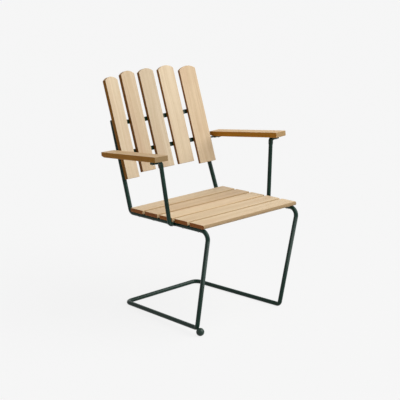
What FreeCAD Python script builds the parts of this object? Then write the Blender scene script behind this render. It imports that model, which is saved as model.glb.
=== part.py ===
import FreeCAD
import Part
import Sketcher
import math
import os
from FreeCAD import Placement, Rotation, Vector

# Cantilever garden armchair: one continuous bent round bar carries five seat slats,
# five back slats on two curved flat rails, and two board armrests.
# The sitter faces -Y, +Z is up, the origin lies on the floor under the middle of the chair.
# "left" and "right" are the sitter's: right is -X.

DRIVING_SIZES = (
    ("bar_diameter", 16.0, "round bar of the frame"),
    ("seat_half_span", 222.5, "seat rail axis from the middle plane, at the front"),
    ("seat_front_reach", 291.5, "front bend corner in front of the origin"),
    ("seat_front_height", 391.0, "front bend corner above the floor"),
    ("seat_fall_angle", 1.55, "seat rails fall to the rear, degrees"),
    ("front_bend_radius", 27.0, "seat rail into leg"),
    ("foot_setback", 72.5, "leg foot corner behind the front bend corner"),
    ("foot_half_span", 211.0, "leg foot corner from the middle plane"),
    ("foot_bend_radius", 15.0, "leg into floor rail"),
    ("foot_lift", 16.0, "right foot corner raised on its ball"),
    ("floor_rear_reach", 201.0, "rear floor bar behind the origin"),
    ("floor_rear_half_span", 180.0, "rear floor corner from the middle plane"),
    ("floor_bend_radius", 26.0, "floor rail into rear floor bar"),
    ("rear_bend_radius", 18.0, "seat rail into back post"),
    ("post_top_half_span", 206.5, "back post axis at the upper rail"),
    ("post_foot_half_span", 217.0, "back post axis at the seat rail"),
    ("post_overrun", 15.0, "back post above the upper rail's middle"),
    ("ball_radius", 14.5, "ball foot"),
    ("weld_gap", 0.05, "between pieces that a weld joins"),
    ("back_foot_reach", 160.5, "middle back slat's lower end behind the origin"),
    ("back_foot_height", 507.5, "middle back slat's lower end above the floor"),
    ("recline_angle", 18.6, "back from the vertical, degrees"),
    ("back_curve_radius", 869.0, "curve on which the back slats' faces stand"),
    ("back_slat_width", 70.0, "back slat"),
    ("back_slat_pitch", 94.0, "back slat spacing along the curve"),
    ("back_slat_height", 363.0, "back slat to its shoulders"),
    ("slat_thickness", 14.0, "boards of the seat and the back"),
    ("crown_rise", 13.0, "arched top above the shoulders"),
    ("shoulder_radius", 3.0, "corner between arched top and side"),
    ("edge_ease", 1.5, "eased edges of every board"),
    ("outer_slat_drop", 14.7, "outer back slats sit lower by this much"),
    ("upper_rail_rise", 191.5, "upper back rail above the slats' lower ends"),
    ("lower_rail_rise", 81.0, "lower back rail above the slats' lower ends"),
    ("back_rail_height", 16.0, "flat bar of the back rails"),
    ("back_rail_thickness", 6.0, "flat bar of the back rails"),
    ("back_rail_overrun", 6.0, "back rail past the back post's axis"),
    ("seat_end_overhang", 1.0, "seat slats' ends beyond the bar's outer side"),
    ("front_slat_extra", 5.0, "front seat slat wider than the others"),
    ("seat_slat_gap", 12.0, "between seat slats"),
    ("seat_rear_inset", 14.9, "rear slat's edge in front of the back post's corner"),
    ("seat_nose_inset", 13.5, "front slat's edge behind the front bend corner"),
    ("nosing_radius", 6.5, "rounded front edges of the front slat"),
    ("arm_rear_inset", 11.1, "armrest's rear end in front of the back post's axis"),
    ("arm_width", 56.0, "armrest board"),
    ("arm_thickness", 19.0, "armrest board"),
    ("arm_front_half_span", 268.2, "inner front corner from the middle plane"),
    ("arm_front_reach", 139.6, "inner front corner in front of the origin"),
    ("arm_front_height", 641.2, "inner front corner, top face"),
    ("arm_splay_angle", 5.3, "armrests open to the front, degrees"),
    ("arm_pitch_angle", 6.55, "armrests rise to the front, degrees"),
    ("arm_tail_length", 15.0, "slope under the rear end, along the arm"),
    ("arm_tail_height", 5.0, "slope under the rear end, up"),
    ("support_diameter", 15.0, "round bar under each armrest"),
    ("support_seat_setback", 168.5, "support's foot behind the front bend corner"),
    ("support_stand_off", 27.9, "support's upright from the seat rail's axis"),
    ("support_foot_rise", 2.4, "support's foot above the seat rail's axis"),
    ("support_bend_radius", 12.0, "support's foot into its upright"),
    ("support_arm_setback", 35.0, "support's tab behind the armrest's front end"),
    ("support_arm_inset", 7.0, "support's tab leg from the armrest's inner edge"),
    ("tab_width", 18.0, "flattened top of the support"),
    ("tab_thickness", 10.0, "flattened top of the support"),
    ("tab_reach", 46.0, "tab's end from the armrest's inner edge"),
    ("tab_bend_radius", 16.0, "outer side of the tab's bend"),
    ("tab_leg", 17.0, "flat leg below the tab's top face"),
    ("flatten_length", 14.0, "round bar into flat tab"),
    ("lug_width", 14.0, "flat lug from back post to armrest"),
    ("lug_thickness", 5.0, "flat lug from back post to armrest"),
    ("lug_end_setback", 30.0, "lug's end in front of the armrest's rear end"),
    ("lug_end_inset", 29.0, "lug's end from the armrest's inner edge"),
    ("screw_diameter", 4.5, "wood screw shank"),
    ("screw_head_diameter", 9.0, "wood screw head"),
    ("screw_head_height", 2.6, "wood screw head"),
    ("screw_bite", 9.0, "screw length inside a board"),
    ("screw_clearance", 0.05, "play around a shank"),
    ("flat_depth", 1.4, "flat filed on the round bar under a screw's head"),
    ("flat_margin", 0.4, "flat beyond the head, each way along the bar"),
    ("hole_overrun", 3.0, "drilled past the far side"),
    ("tab_screw_pitch", 15.0, "between the two screws of a tab"),
    ("lug_screw_pitch", 14.0, "between the two screws of a lug"),
    ("tab_screw_margin", 8.0, "outer screw from the tab's or lug's end"),
)

NECK_SIDES = 12
POST_ROUNDS = 8
BALL_BANDS = 10
BALL_SIDES = 20
SHANK_SIDES = 6
HEAD_SIDES = 8
SEAT_SLAT_COUNT = 5
BACK_SLAT_COUNT = 5
X_AXIS = Vector(1, 0, 0)
Y_AXIS = Vector(0, 1, 0)
Z_AXIS = Vector(0, 0, 1)

doc = FreeCAD.newDocument("garden_armchair")


def fill_sheet():
    """Write every driving dimension as a number with an alias."""
    table = doc.addObject("Spreadsheet::Sheet", "sizes")
    for row, (alias, value, note) in enumerate(DRIVING_SIZES, start=1):
        table.set("A%d" % row, note)
        table.set("B%d" % row, str(value))
        table.setAlias("B%d" % row, alias)
    doc.recompute()
    return table


sheet = fill_sheet()
worked_out = []


def size(alias):
    """Read one dimension from the sheet."""
    return float(sheet.get(alias))


def work_out(alias, value, note):
    """Add a dimension that follows from the others to the sheet."""
    worked_out.append(alias)
    row = len(DRIVING_SIZES) + len(worked_out)
    sheet.set("A%d" % row, note)
    sheet.set("B%d" % row, repr(value))
    sheet.setAlias("B%d" % row, alias)
    doc.recompute()


# Datum frames of the seat and the back


def tilt_about_x(angle):
    """Rotation that leans +Z towards +Y by an angle in degrees."""
    return Rotation(X_AXIS, -angle)


def seat_frame():
    """Frame on the seat rails' axes: Y runs to the rear, Z square to the seat."""
    corner = Vector(0, -size("seat_front_reach"), size("seat_front_height"))
    return Placement(corner, tilt_about_x(size("seat_fall_angle")))


def back_frame():
    """Frame at the middle back slat's lower front edge: Z runs up the back."""
    foot = Vector(0, size("back_foot_reach"), size("back_foot_height"))
    return Placement(foot, tilt_about_x(size("recline_angle")))


def on_back(angle, rise=0.0):
    """Frame turned about the axis of the back's curve, on the slats' front faces."""
    radius = size("back_curve_radius")
    to_axis = Placement(Vector(0, -radius, rise), Rotation(Z_AXIS, -angle))
    return back_frame() * to_axis * Placement(Vector(0, radius, 0), Rotation())


def slat_angle(number):
    """Angle of a back slat on the curve, in degrees from the middle plane."""
    turn = size("back_slat_pitch") / size("back_curve_radius")
    return math.degrees((number - (BACK_SLAT_COUNT + 1) / 2) * turn)


def back_rail_inner_radius():
    """The rails touch each flat slat along its two rear edges."""
    to_back_face = size("back_curve_radius") + size("slat_thickness")
    return math.hypot(to_back_face, size("back_slat_width") / 2)


def post_seat(half_span, rise):
    """Point of the back post's axis that lies against the back of a rail."""
    radius = back_rail_inner_radius() + size("back_rail_thickness") + size("bar_diameter") / 2
    depth = math.sqrt(radius * radius - half_span * half_span) - size("back_curve_radius")
    return back_frame().multVec(Vector(half_span, depth, rise))


def post_axis():
    """Lower end and direction of the left post, from the seat rail up past both rails."""
    upper = size("upper_rail_rise")
    lower = size("lower_rail_rise")
    top_half = size("post_top_half_span")
    seat_half = size("post_foot_half_span")
    high = post_seat(top_half, upper)
    corner_rise = 0.0
    fall = math.tan(math.radians(size("seat_fall_angle")))
    # The post leans inwards evenly, so its place at the lower rail and its foot settle together.
    for _ in range(POST_ROUNDS):
        share = (upper - lower) / (upper - corner_rise)
        low = post_seat(top_half + (seat_half - top_half) * share, lower)
        along = low - high
        start = size("seat_front_height") - (high.y + size("seat_front_reach")) * fall
        reach = (high.z - start) / (-along.z - along.y * fall)
        corner = high + along * reach
        corner_rise = back_frame().inverse().multVec(corner).z
    return corner, (high - low).normalize(), high


POST_FOOT, POST_DIRECTION, POST_AT_RAIL = post_axis()


def rail_point(run):
    """Point of the left seat rail's axis in the seat's frame, a run behind its front corner."""
    rear = seat_frame().inverse().multVec(POST_FOOT)
    front_half = size("seat_half_span")
    return Vector(front_half + (rear.x - front_half) * run / rear.y, run, 0)


def mirrored(point):
    """The same point on the sitter's right."""
    return Vector(-point.x, point.y, point.z)


def arm_frame():
    """Left armrest's frame at its inner front corner: X outwards, Y to the rear, Z up its top."""
    reach = size("arm_front_reach")
    corner = Vector(size("arm_front_half_span"), -reach, size("arm_front_height"))
    splay = Rotation(Z_AXIS, size("arm_splay_angle"))
    return Placement(corner, splay * tilt_about_x(size("arm_pitch_angle")))


def post_under_arm():
    """Where the left back post's axis meets the plane under the armrest, in the arm's frame."""
    inverse = arm_frame().inverse()
    foot = inverse.multVec(POST_FOOT)
    high = inverse.multVec(POST_AT_RAIL)
    level = -size("arm_thickness")
    share = (level - foot.z) / (high.z - foot.z)
    return foot + (high - foot) * share


def slat_width():
    """Width that lets the seat slats fill the rails between the two bends."""
    run = seat_frame().inverse().multVec(POST_FOOT).y
    gaps = (SEAT_SLAT_COUNT - 1) * size("seat_slat_gap")
    ends = size("seat_nose_inset") + size("seat_rear_inset") + size("front_slat_extra")
    return (run - gaps - ends) / SEAT_SLAT_COUNT


def slat_length():
    """Length that carries the seat slats just past the bar on both sides."""
    rail = max(size("seat_half_span"), size("post_foot_half_span"))
    return 2 * (rail + size("bar_diameter") / 2 + size("seat_end_overhang"))


work_out("seat_slat_length", slat_length(), "seat slat across the chair")
work_out("seat_slat_width", slat_width(), "seat slat")
work_out("front_slat_width", slat_width() + size("front_slat_extra"), "front seat slat")
work_out("arm_length", post_under_arm().y - size("arm_rear_inset"), "armrest board")


# The frame: straight runs of round bar joined by tangent bends


def straight_bar(start, end, diameter):
    """Round bar from one point to another."""
    return Part.makeCylinder(diameter / 2, (end - start).Length, start, end - start)


def round_bar(points, radii, diameter):
    """Round bar through the corner points, each inner corner bent to its radius."""
    pieces = []
    start = points[0]
    for before, corner, after, radius in zip(points, points[1:], points[2:], radii):
        back = (before - corner).normalize()
        ahead = (after - corner).normalize()
        half = back.getAngle(ahead) / 2
        tangent = radius / math.tan(half)
        entry = corner + back * tangent
        centre = corner + (back + ahead).normalize() * (radius / math.sin(half))
        axis = (entry - centre).cross(corner - entry)
        disk = Part.Face(Part.Wire(Part.makeCircle(diameter / 2, entry, corner - entry)))
        pieces.append(straight_bar(start, entry, diameter))
        pieces.append(disk.revolve(centre, axis, math.degrees(math.pi - 2 * half)))
        start = corner + ahead * tangent
    pieces.append(straight_bar(start, points[-1], diameter))
    return pieces[0].fuse(pieces[1:]).removeSplitter().Solids[0]


def frame_points():
    """Corners of the bar from the right post's top round to the left post's top."""
    radius = size("bar_diameter") / 2
    top = POST_AT_RAIL + POST_DIRECTION * size("post_overrun")
    front = Vector(size("seat_half_span"), -size("seat_front_reach"), size("seat_front_height"))
    foot_reach = size("seat_front_reach") - size("foot_setback")
    foot = Vector(size("foot_half_span"), -foot_reach, radius)
    rear = Vector(size("floor_rear_half_span"), size("floor_rear_reach"), radius)
    raised_foot = mirrored(foot) + Z_AXIS * size("foot_lift")
    right = [mirrored(top), mirrored(POST_FOOT), mirrored(front), raised_foot, mirrored(rear)]
    left = [rear, foot, front, POST_FOOT, top]
    return right + left


def frame_radii():
    """Bend radius at each inner corner of the bar, in the order of frame_points."""
    side = [
        size("rear_bend_radius"),
        size("front_bend_radius"),
        size("foot_bend_radius"),
        size("floor_bend_radius"),
    ]
    return side + side[::-1]


def hole_tool(name, length_rule, place):
    """Hole for a screw along its own Z, with the sides of the screw's shank."""
    tool = doc.addObject("Part::Prism", name)
    tool.Polygon = SHANK_SIDES
    tool.setExpression("Circumradius", "sizes.screw_diameter / 2 + sizes.screw_clearance")
    tool.setExpression("Height", length_rule)
    tool.Placement = place
    return tool


def drilled(node, base, tools):
    """Cut drilling tools out of a base and give the result the node's name."""
    together = doc.addObject("Part::Compound", node + "_drilling")
    together.Links = tools
    cut = doc.addObject("Part::Cut", node)
    cut.Base = base
    cut.Tool = together
    cut.Label = node
    return cut


RAIL_CURVE = (
    "sqrt((sizes.back_curve_radius + sizes.slat_thickness) ^ 2 + (sizes.back_slat_width / 2) ^ 2)"
)
BACK_GRIP = (
    RAIL_CURVE + " + sizes.back_rail_thickness - sizes.back_curve_radius - sizes.slat_thickness"
)


def seat_slat_span(number):
    """Front edge and width of a seat slat, along the rails; number 1 is the front slat."""
    start = size("seat_nose_inset")
    width = size("front_slat_width")
    for _ in range(number - 1):
        start = start + width + size("seat_slat_gap")
        width = size("seat_slat_width")
    return start, width


def seat_screw_places():
    """Frames of the seat screws: origin on the rail's axis, Z up through the slat."""
    places = []
    for number in range(1, SEAT_SLAT_COUNT + 1):
        start, width = seat_slat_span(number)
        for side in (-1, 1):
            at = rail_point(start + width / 2)
            places.append(seat_frame() * Placement(Vector(side * at.x, at.y, at.z), Rotation()))
    return places


def make_frame():
    """The continuous bar, drilled and filed flat under the seat slats."""
    bar = doc.addObject("Part::Feature", "frame_bar")
    bar.Shape = round_bar(frame_points(), frame_radii(), size("bar_diameter"))
    radius = size("bar_diameter") / 2
    tools = []
    for place in seat_screw_places():
        below = Placement(Vector(0, 0, -radius - size("hole_overrun")), Rotation())
        through = "sizes.bar_diameter + 2 * sizes.hole_overrun"
        tools.append(hole_tool("bar_hole", through, place * below))
        flat = doc.addObject("Part::Box", "bar_flat")
        flat.setExpression("Length", "sizes.bar_diameter")
        flat.setExpression("Width", "sizes.screw_head_diameter + 2 * sizes.flat_margin")
        flat.setExpression("Height", "sizes.flat_depth + sizes.hole_overrun")
        half = size("screw_head_diameter") / 2 + size("flat_margin")
        flat.Placement = place * below * Placement(Vector(-radius, -half, 0), Rotation())
        tools.append(flat)
    return drilled("frame", bar, tools)


def faceted_ball(centre, radius):
    """Ball of flat facets with its corners on the sphere, a point at its top and bottom."""
    rings = []
    for band in range(BALL_BANDS + 1):
        fall = math.pi * band / BALL_BANDS
        level = centre - Z_AXIS * (radius * math.cos(fall))
        turns = [2 * math.pi * side / BALL_SIDES for side in range(BALL_SIDES)]
        reach = radius * math.sin(fall)
        rings.append([level + Vector(math.cos(t), math.sin(t), 0) * reach for t in turns])
    faces = []
    for low, high in zip(rings, rings[1:]):
        for side in range(BALL_SIDES):
            ahead = (side + 1) % BALL_SIDES
            corners = [low[side], low[ahead], high[ahead], high[side]]
            if low is rings[0]:
                corners = [low[0], high[ahead], high[side]]
            if high is rings[-1]:
                corners = [low[side], low[ahead], high[0]]
            faces.append(Part.Face(Part.makePolygon(corners + corners[:1])))
    return Part.makeSolid(Part.makeShell(faces))


def make_ball_foot():
    """Turned ball welded against the bend of the raised right foot corner."""
    leg, corner, rear = frame_points()[2:5]
    up_leg = (leg - corner).normalize()
    along_floor = (rear - corner).normalize()
    inwards = (up_leg + along_floor).normalize()
    bend = size("foot_bend_radius")
    bend_middle = corner + inwards * (bend / math.sin(up_leg.getAngle(inwards)) - bend)
    radius = size("ball_radius")
    reach = size("bar_diameter") / 2 + radius + size("weld_gap")
    drop = bend_middle.z - radius
    forward = math.sqrt(reach * reach - drop * drop)
    centre = Vector(bend_middle.x, bend_middle.y - forward, radius)
    ball = doc.addObject("Part::Feature", "ball_foot")
    ball.Shape = faceted_ball(centre, radius)
    ball.Label = "ball_foot"
    return ball


# Boards


def board_sketch(body, plane_role, length_rule, width_rule):
    """Rectangle centred on X that starts at the other axis, sized by the sheet."""
    sketch = body.newObject("Sketcher::SketchObject", "outline")
    plane = next(p for p in body.Origin.OriginFeatures if p.Role == plane_role)
    sketch.AttachmentSupport = (plane, "")
    sketch.MapMode = "FlatFace"
    half = size("arm_width")
    corners = [Vector(-half, 0, 0), Vector(half, 0, 0), Vector(half, half, 0), Vector(-half, half, 0)]
    for begin, end in zip(corners, corners[1:] + corners[:1]):
        sketch.addGeometry(Part.LineSegment(begin, end))
    for line in range(4):
        sketch.addConstraint(Sketcher.Constraint("Coincident", line, 2, (line + 1) % 4, 1))
    sketch.addConstraint(Sketcher.Constraint("Horizontal", 0))
    sketch.addConstraint(Sketcher.Constraint("Horizontal", 2))
    sketch.addConstraint(Sketcher.Constraint("Vertical", 1))
    sketch.addConstraint(Sketcher.Constraint("Vertical", 3))
    sketch.addConstraint(Sketcher.Constraint("Symmetric", 0, 1, 0, 2, -1, 1))
    length = sketch.addConstraint(Sketcher.Constraint("DistanceX", 0, 1, 0, 2, 2 * half))
    width = sketch.addConstraint(Sketcher.Constraint("DistanceY", 1, 1, 1, 2, half))
    sketch.setExpression("Constraints[%d]" % length, length_rule)
    sketch.setExpression("Constraints[%d]" % width, width_rule)
    return sketch


def padded(body, sketch, thickness_rule, reverse=False):
    """Pad a sketch to a thickness taken from the sheet."""
    pad = body.newObject("PartDesign::Pad", "board")
    pad.Profile = sketch
    pad.setExpression("Length", thickness_rule)
    pad.Reversed = reverse
    doc.recompute()
    return pad


def rounded(body, base, radius_rule, choose):
    """Fillet the edges of a base that a test on the edge picks."""
    names = ["Edge%d" % (n + 1) for n, edge in enumerate(base.Shape.Edges) if choose(edge)]
    fillet = body.newObject("PartDesign::Fillet", "rounding")
    fillet.Base = (base, names)
    fillet.setExpression("Radius", radius_rule)
    doc.recompute()
    return fillet


def eased(body, base, choose):
    """Bevel the sharp edges of a base that a test on the edge picks."""
    names = ["Edge%d" % (n + 1) for n, edge in enumerate(base.Shape.Edges) if choose(edge)]
    bevel = body.newObject("PartDesign::Chamfer", "easing")
    bevel.Base = (base, names)
    bevel.setExpression("Size", "sizes.edge_ease")
    doc.recompute()
    return bevel


def lies_at(edge, axis, value):
    """True if the whole edge lies at one value of an axis, to a tenth of an eased edge."""
    box = edge.BoundBox
    ends = {"x": (box.XMin, box.XMax), "y": (box.YMin, box.YMax), "z": (box.ZMin, box.ZMax)}
    low, high = ends[axis]
    near = size("edge_ease") / 10
    return abs(low - value) < near and abs(high - value) < near


def new_body(name):
    """An empty PartDesign body."""
    return doc.addObject("PartDesign::Body", name)


def make_seat_slat(number):
    """One seat board: X across the chair, Y to the rear, Z up from the rails."""
    start, width = seat_slat_span(number)
    width_rule = "sizes.front_slat_width" if number == 1 else "sizes.seat_slat_width"
    body = new_body("seat_board_%d" % number)
    outline = board_sketch(body, "XY_Plane", "sizes.seat_slat_length", width_rule)
    board = padded(body, outline, "sizes.slat_thickness")
    top = size("slat_thickness")

    def is_nosing(edge):
        level = lies_at(edge, "z", top) or lies_at(edge, "z", 0)
        return number == 1 and level and lies_at(edge, "y", 0)

    if number == 1:
        board = rounded(body, board, "sizes.nosing_radius", is_nosing)

    def is_sharp(edge):
        at_end = lies_at(edge, "x", edge.BoundBox.XMin)
        return lies_at(edge, "z", top) and (at_end or lies_at(edge, "y", width))

    eased(body, board, is_sharp)
    above = Placement(Vector(0, start, size("bar_diameter") / 2), Rotation())
    body.Placement = seat_frame() * above
    tools = []
    sink = Placement(Vector(0, 0, size("bar_diameter") / 2 - size("hole_overrun")), Rotation())
    for place in seat_screw_places()[2 * number - 2 : 2 * number]:
        depth = "sizes.screw_bite + sizes.screw_clearance + sizes.hole_overrun"
        tools.append(hole_tool("seat_slat_hole", depth, place * sink))
    return drilled("seat_slat_%d" % number, body, tools)


def crowned_sketch(body):
    """Back slat outline: square lower end, straight sides, arched top."""
    sketch = body.newObject("Sketcher::SketchObject", "outline")
    plane = next(p for p in body.Origin.OriginFeatures if p.Role == "XZ_Plane")
    sketch.AttachmentSupport = (plane, "")
    sketch.MapMode = "FlatFace"
    half = size("back_slat_width") / 2
    height = size("back_slat_height")
    rise = size("crown_rise")
    radius = (half * half + rise * rise) / (2 * rise)
    spread = math.asin(half / radius)
    centre = Vector(0, height + rise - radius, 0)
    circle = Part.Circle(centre, Z_AXIS, radius)
    sketch.addGeometry(Part.LineSegment(Vector(-half, 0, 0), Vector(half, 0, 0)))
    sketch.addGeometry(Part.LineSegment(Vector(half, 0, 0), Vector(half, height, 0)))
    sketch.addGeometry(Part.ArcOfCircle(circle, math.pi / 2 - spread, math.pi / 2 + spread))
    sketch.addGeometry(Part.LineSegment(Vector(-half, height, 0), Vector(-half, 0, 0)))
    sketch.addConstraint(Sketcher.Constraint("Coincident", 0, 2, 1, 1))
    sketch.addConstraint(Sketcher.Constraint("Coincident", 1, 2, 2, 1))
    sketch.addConstraint(Sketcher.Constraint("Coincident", 2, 2, 3, 1))
    sketch.addConstraint(Sketcher.Constraint("Coincident", 3, 2, 0, 1))
    sketch.addConstraint(Sketcher.Constraint("Horizontal", 0))
    sketch.addConstraint(Sketcher.Constraint("Vertical", 1))
    sketch.addConstraint(Sketcher.Constraint("Vertical", 3))
    sketch.addConstraint(Sketcher.Constraint("Symmetric", 0, 1, 0, 2, -1, 1))
    width = sketch.addConstraint(Sketcher.Constraint("DistanceX", 0, 1, 0, 2, 2 * half))
    side = sketch.addConstraint(Sketcher.Constraint("DistanceY", 1, 1, 1, 2, height))
    sketch.addConstraint(Sketcher.Constraint("Equal", 1, 3))
    arch = sketch.addConstraint(Sketcher.Constraint("Radius", 2, radius))
    sketch.setExpression("Constraints[%d]" % width, "sizes.back_slat_width")
    sketch.setExpression("Constraints[%d]" % side, "sizes.back_slat_height")
    sketch.setExpression(
        "Constraints[%d]" % arch,
        "(sizes.back_slat_width * sizes.back_slat_width / 4 + sizes.crown_rise * sizes.crown_rise)"
        " / (2 * sizes.crown_rise)",
    )
    return sketch


def back_slat_drop(number):
    """The two outer slats stand lower than the three between them."""
    outer = number in (1, BACK_SLAT_COUNT)
    return size("outer_slat_drop") if outer else 0.0


def back_screw_places():
    """Frames of the back screws: origin on the rail's rear face, Z towards the sitter."""
    places = []
    depth = back_rail_inner_radius() + size("back_rail_thickness") - size("back_curve_radius")
    forwards = Placement(Vector(0, depth, 0), Rotation(X_AXIS, 90))
    for number in range(1, BACK_SLAT_COUNT + 1):
        for rise in (size("lower_rail_rise"), size("upper_rail_rise")):
            places.append(on_back(slat_angle(number), rise) * forwards)
    return places


def make_back_slat(number):
    """One back board with an arched top, drilled from behind for its two screws."""
    body = new_body("back_board_%d" % number)
    board = padded(body, crowned_sketch(body), "sizes.slat_thickness", True)
    height = size("back_slat_height")
    half = size("back_slat_width") / 2

    def is_shoulder(edge):
        upright = lies_at(edge, "x", half) or lies_at(edge, "x", -half)
        return upright and lies_at(edge, "z", height)

    board = rounded(body, board, "sizes.shoulder_radius", is_shoulder)
    eased(body, board, lambda e: lies_at(e, "y", 0))
    body.Placement = on_back(slat_angle(number), -back_slat_drop(number))
    tools = []
    for place in back_screw_places()[2 * number - 2 : 2 * number]:
        depth = "sizes.screw_bite + sizes.screw_clearance + " + BACK_GRIP
        tools.append(hole_tool("back_slat_hole", depth, place))
    return drilled("back_slat_%d" % number, body, tools)


def make_back_rail(node, rise_name):
    """Flat bar rolled to the curve of the back, from post to post."""
    rise = size(rise_name)
    body = new_body(node + "_bar")
    sketch = body.newObject("Sketcher::SketchObject", "section")
    plane = next(p for p in body.Origin.OriginFeatures if p.Role == "YZ_Plane")
    sketch.AttachmentSupport = (plane, "")
    sketch.MapMode = "FlatFace"
    inner = back_rail_inner_radius()
    half = size("back_rail_height") / 2
    outer = inner + size("back_rail_thickness")
    places = ((inner, -half), (outer, -half), (outer, half), (inner, half))
    corners = [Vector(x, y, 0) for x, y in places]
    for begin, end in zip(corners, corners[1:] + corners[:1]):
        sketch.addGeometry(Part.LineSegment(begin, end))
    for line in range(4):
        sketch.addConstraint(Sketcher.Constraint("Coincident", line, 2, (line + 1) % 4, 1))
    sketch.addConstraint(Sketcher.Constraint("Horizontal", 0))
    sketch.addConstraint(Sketcher.Constraint("Horizontal", 2))
    sketch.addConstraint(Sketcher.Constraint("Symmetric", 1, 1, 1, 2, -1))
    near = sketch.addConstraint(Sketcher.Constraint("DistanceX", -1, 1, 0, 1, inner))
    sketch.addConstraint(Sketcher.Constraint("Vertical", 3))
    thick = sketch.addConstraint(Sketcher.Constraint("DistanceX", 0, 1, 0, 2, outer - inner))
    tall = sketch.addConstraint(Sketcher.Constraint("DistanceY", 1, 1, 1, 2, 2 * half))
    sketch.setExpression("Constraints[%d]" % near, RAIL_CURVE)
    sketch.setExpression("Constraints[%d]" % thick, "sizes.back_rail_thickness")
    sketch.setExpression("Constraints[%d]" % tall, "sizes.back_rail_height")
    post = back_frame().inverse().multVec(POST_AT_RAIL)
    climb = back_frame().inverse().multVec(POST_FOOT)
    half_span = post.x + (climb.x - post.x) * (post.z - rise) / (post.z - climb.z)
    reach = half_span + size("back_rail_overrun")
    bar = body.newObject("PartDesign::Revolution", "rolled_bar")
    bar.Profile = sketch
    bar.ReferenceAxis = (sketch, ["V_Axis"])
    bar.Midplane = True
    bar.Angle = 2 * math.degrees(math.asin(reach / outer))
    doc.recompute()
    to_axis = Placement(Vector(0, -size("back_curve_radius"), rise), Rotation())
    body.Placement = back_frame() * to_axis
    which = 0 if rise_name == "lower_rail_rise" else 1
    outwards = Placement(Vector(0, 0, -size("hole_overrun")), Rotation())
    tools = []
    for place in back_screw_places()[which::2]:
        through = "sizes.back_rail_thickness + 2 * sizes.hole_overrun"
        tools.append(hole_tool("rail_hole", through, place * outwards))
    return drilled(node, body, tools)


# Armrests, their supports at the front and their lugs at the back posts


def lug_frame():
    """Frame of the lug: origin at the post's axis, X along the lug, Z up."""
    post = post_under_arm()
    end = Vector(
        size("lug_end_inset"), size("arm_length") - size("lug_end_setback"), -size("arm_thickness")
    )
    along = end - post
    turn = math.degrees(math.atan2(along.y, along.x))
    return arm_frame() * Placement(post, Rotation(Z_AXIS, turn)), along.Length


def arm_screw_places():
    """Frames of the left arm's screws on its underside: Z up, first the tab's, then the lug's."""
    places = []
    under = Vector(0, size("support_arm_setback"), -size("arm_thickness"))
    for step in (0, 1):
        inset = size("tab_reach") - size("tab_screw_margin") - step * size("tab_screw_pitch")
        places.append(arm_frame() * Placement(under + X_AXIS * inset, Rotation()))
    frame, length = lug_frame()
    for step in (0, 1):
        along = length - size("tab_screw_margin") - step * size("lug_screw_pitch")
        places.append(frame * Placement(X_AXIS * along, Rotation()))
    return places


def make_left_armrest():
    """Board armrest: flat top, eased edges, a slope under its rear end."""
    body = new_body("arm_board")
    outline = board_sketch(body, "XY_Plane", "sizes.arm_width", "sizes.arm_length")
    board = padded(body, outline, "sizes.arm_thickness")
    length = size("arm_length")

    def is_tail(edge):
        return lies_at(edge, "z", 0) and lies_at(edge, "y", length)

    tail = body.newObject("PartDesign::Chamfer", "tail")
    names = ["Edge%d" % (n + 1) for n, e in enumerate(board.Shape.Edges) if is_tail(e)]
    tail.Base = (board, names)
    tail.ChamferType = "Two distances"
    tail.setExpression("Size", "sizes.arm_tail_height")
    tail.setExpression("Size2", "sizes.arm_tail_length")
    doc.recompute()
    half = size("arm_width") / 2

    def is_upright(edge):
        at_side = lies_at(edge, "x", half) or lies_at(edge, "x", -half)
        at_end = lies_at(edge, "y", 0) or lies_at(edge, "y", length)
        return at_side and at_end

    top = size("arm_thickness")
    eased(body, tail, lambda e: lies_at(e, "z", top) or is_upright(e))
    body.Placement = arm_frame() * Placement(Vector(half, 0, -top), Rotation())
    tools = []
    for place in arm_screw_places():
        sink = Placement(Vector(0, 0, -size("hole_overrun")), Rotation())
        depth = "sizes.screw_bite + sizes.screw_clearance + sizes.hole_overrun"
        tools.append(hole_tool("arm_hole", depth, place * sink))
    return drilled("left_armrest", body, tools)


def tab_strip():
    """Flattened top of the support: a leg, a bend and a tab flat under the armrest."""
    inset = size("support_arm_inset")
    thick = size("tab_thickness")
    bend = size("tab_bend_radius")
    left = inset - thick / 2
    right = inset + thick / 2
    low = -size("tab_leg")
    inner = bend - thick
    bevel = math.cos(math.pi / 4)
    outer_middle = Vector(left + bend - bend * bevel, 0, -bend + bend * bevel)
    inner_middle = Vector(left + bend - inner * bevel, 0, -bend + inner * bevel)
    edges = [
        Part.LineSegment(Vector(left, 0, low), Vector(left, 0, -bend)),
        Part.Arc(Vector(left, 0, -bend), outer_middle, Vector(left + bend, 0, 0)),
        Part.LineSegment(Vector(left + bend, 0, 0), Vector(size("tab_reach"), 0, 0)),
        Part.LineSegment(Vector(size("tab_reach"), 0, 0), Vector(size("tab_reach"), 0, -thick)),
        Part.LineSegment(Vector(size("tab_reach"), 0, -thick), Vector(left + bend, 0, -thick)),
        Part.Arc(Vector(left + bend, 0, -thick), inner_middle, Vector(right, 0, -bend)),
        Part.LineSegment(Vector(right, 0, -bend), Vector(right, 0, low)),
        Part.LineSegment(Vector(right, 0, low), Vector(left, 0, low)),
    ]
    face = Part.Face(Part.Wire([edge.toShape() for edge in edges]))
    face.translate(Vector(0, -size("tab_width") / 2, 0))
    return face.extrude(Vector(0, size("tab_width"), 0))


def tab_frame():
    """Frame of the tab strip: on the armrest's underside at the support's place."""
    at = Vector(0, size("support_arm_setback"), -size("arm_thickness"))
    return arm_frame() * Placement(at, Rotation())


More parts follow.
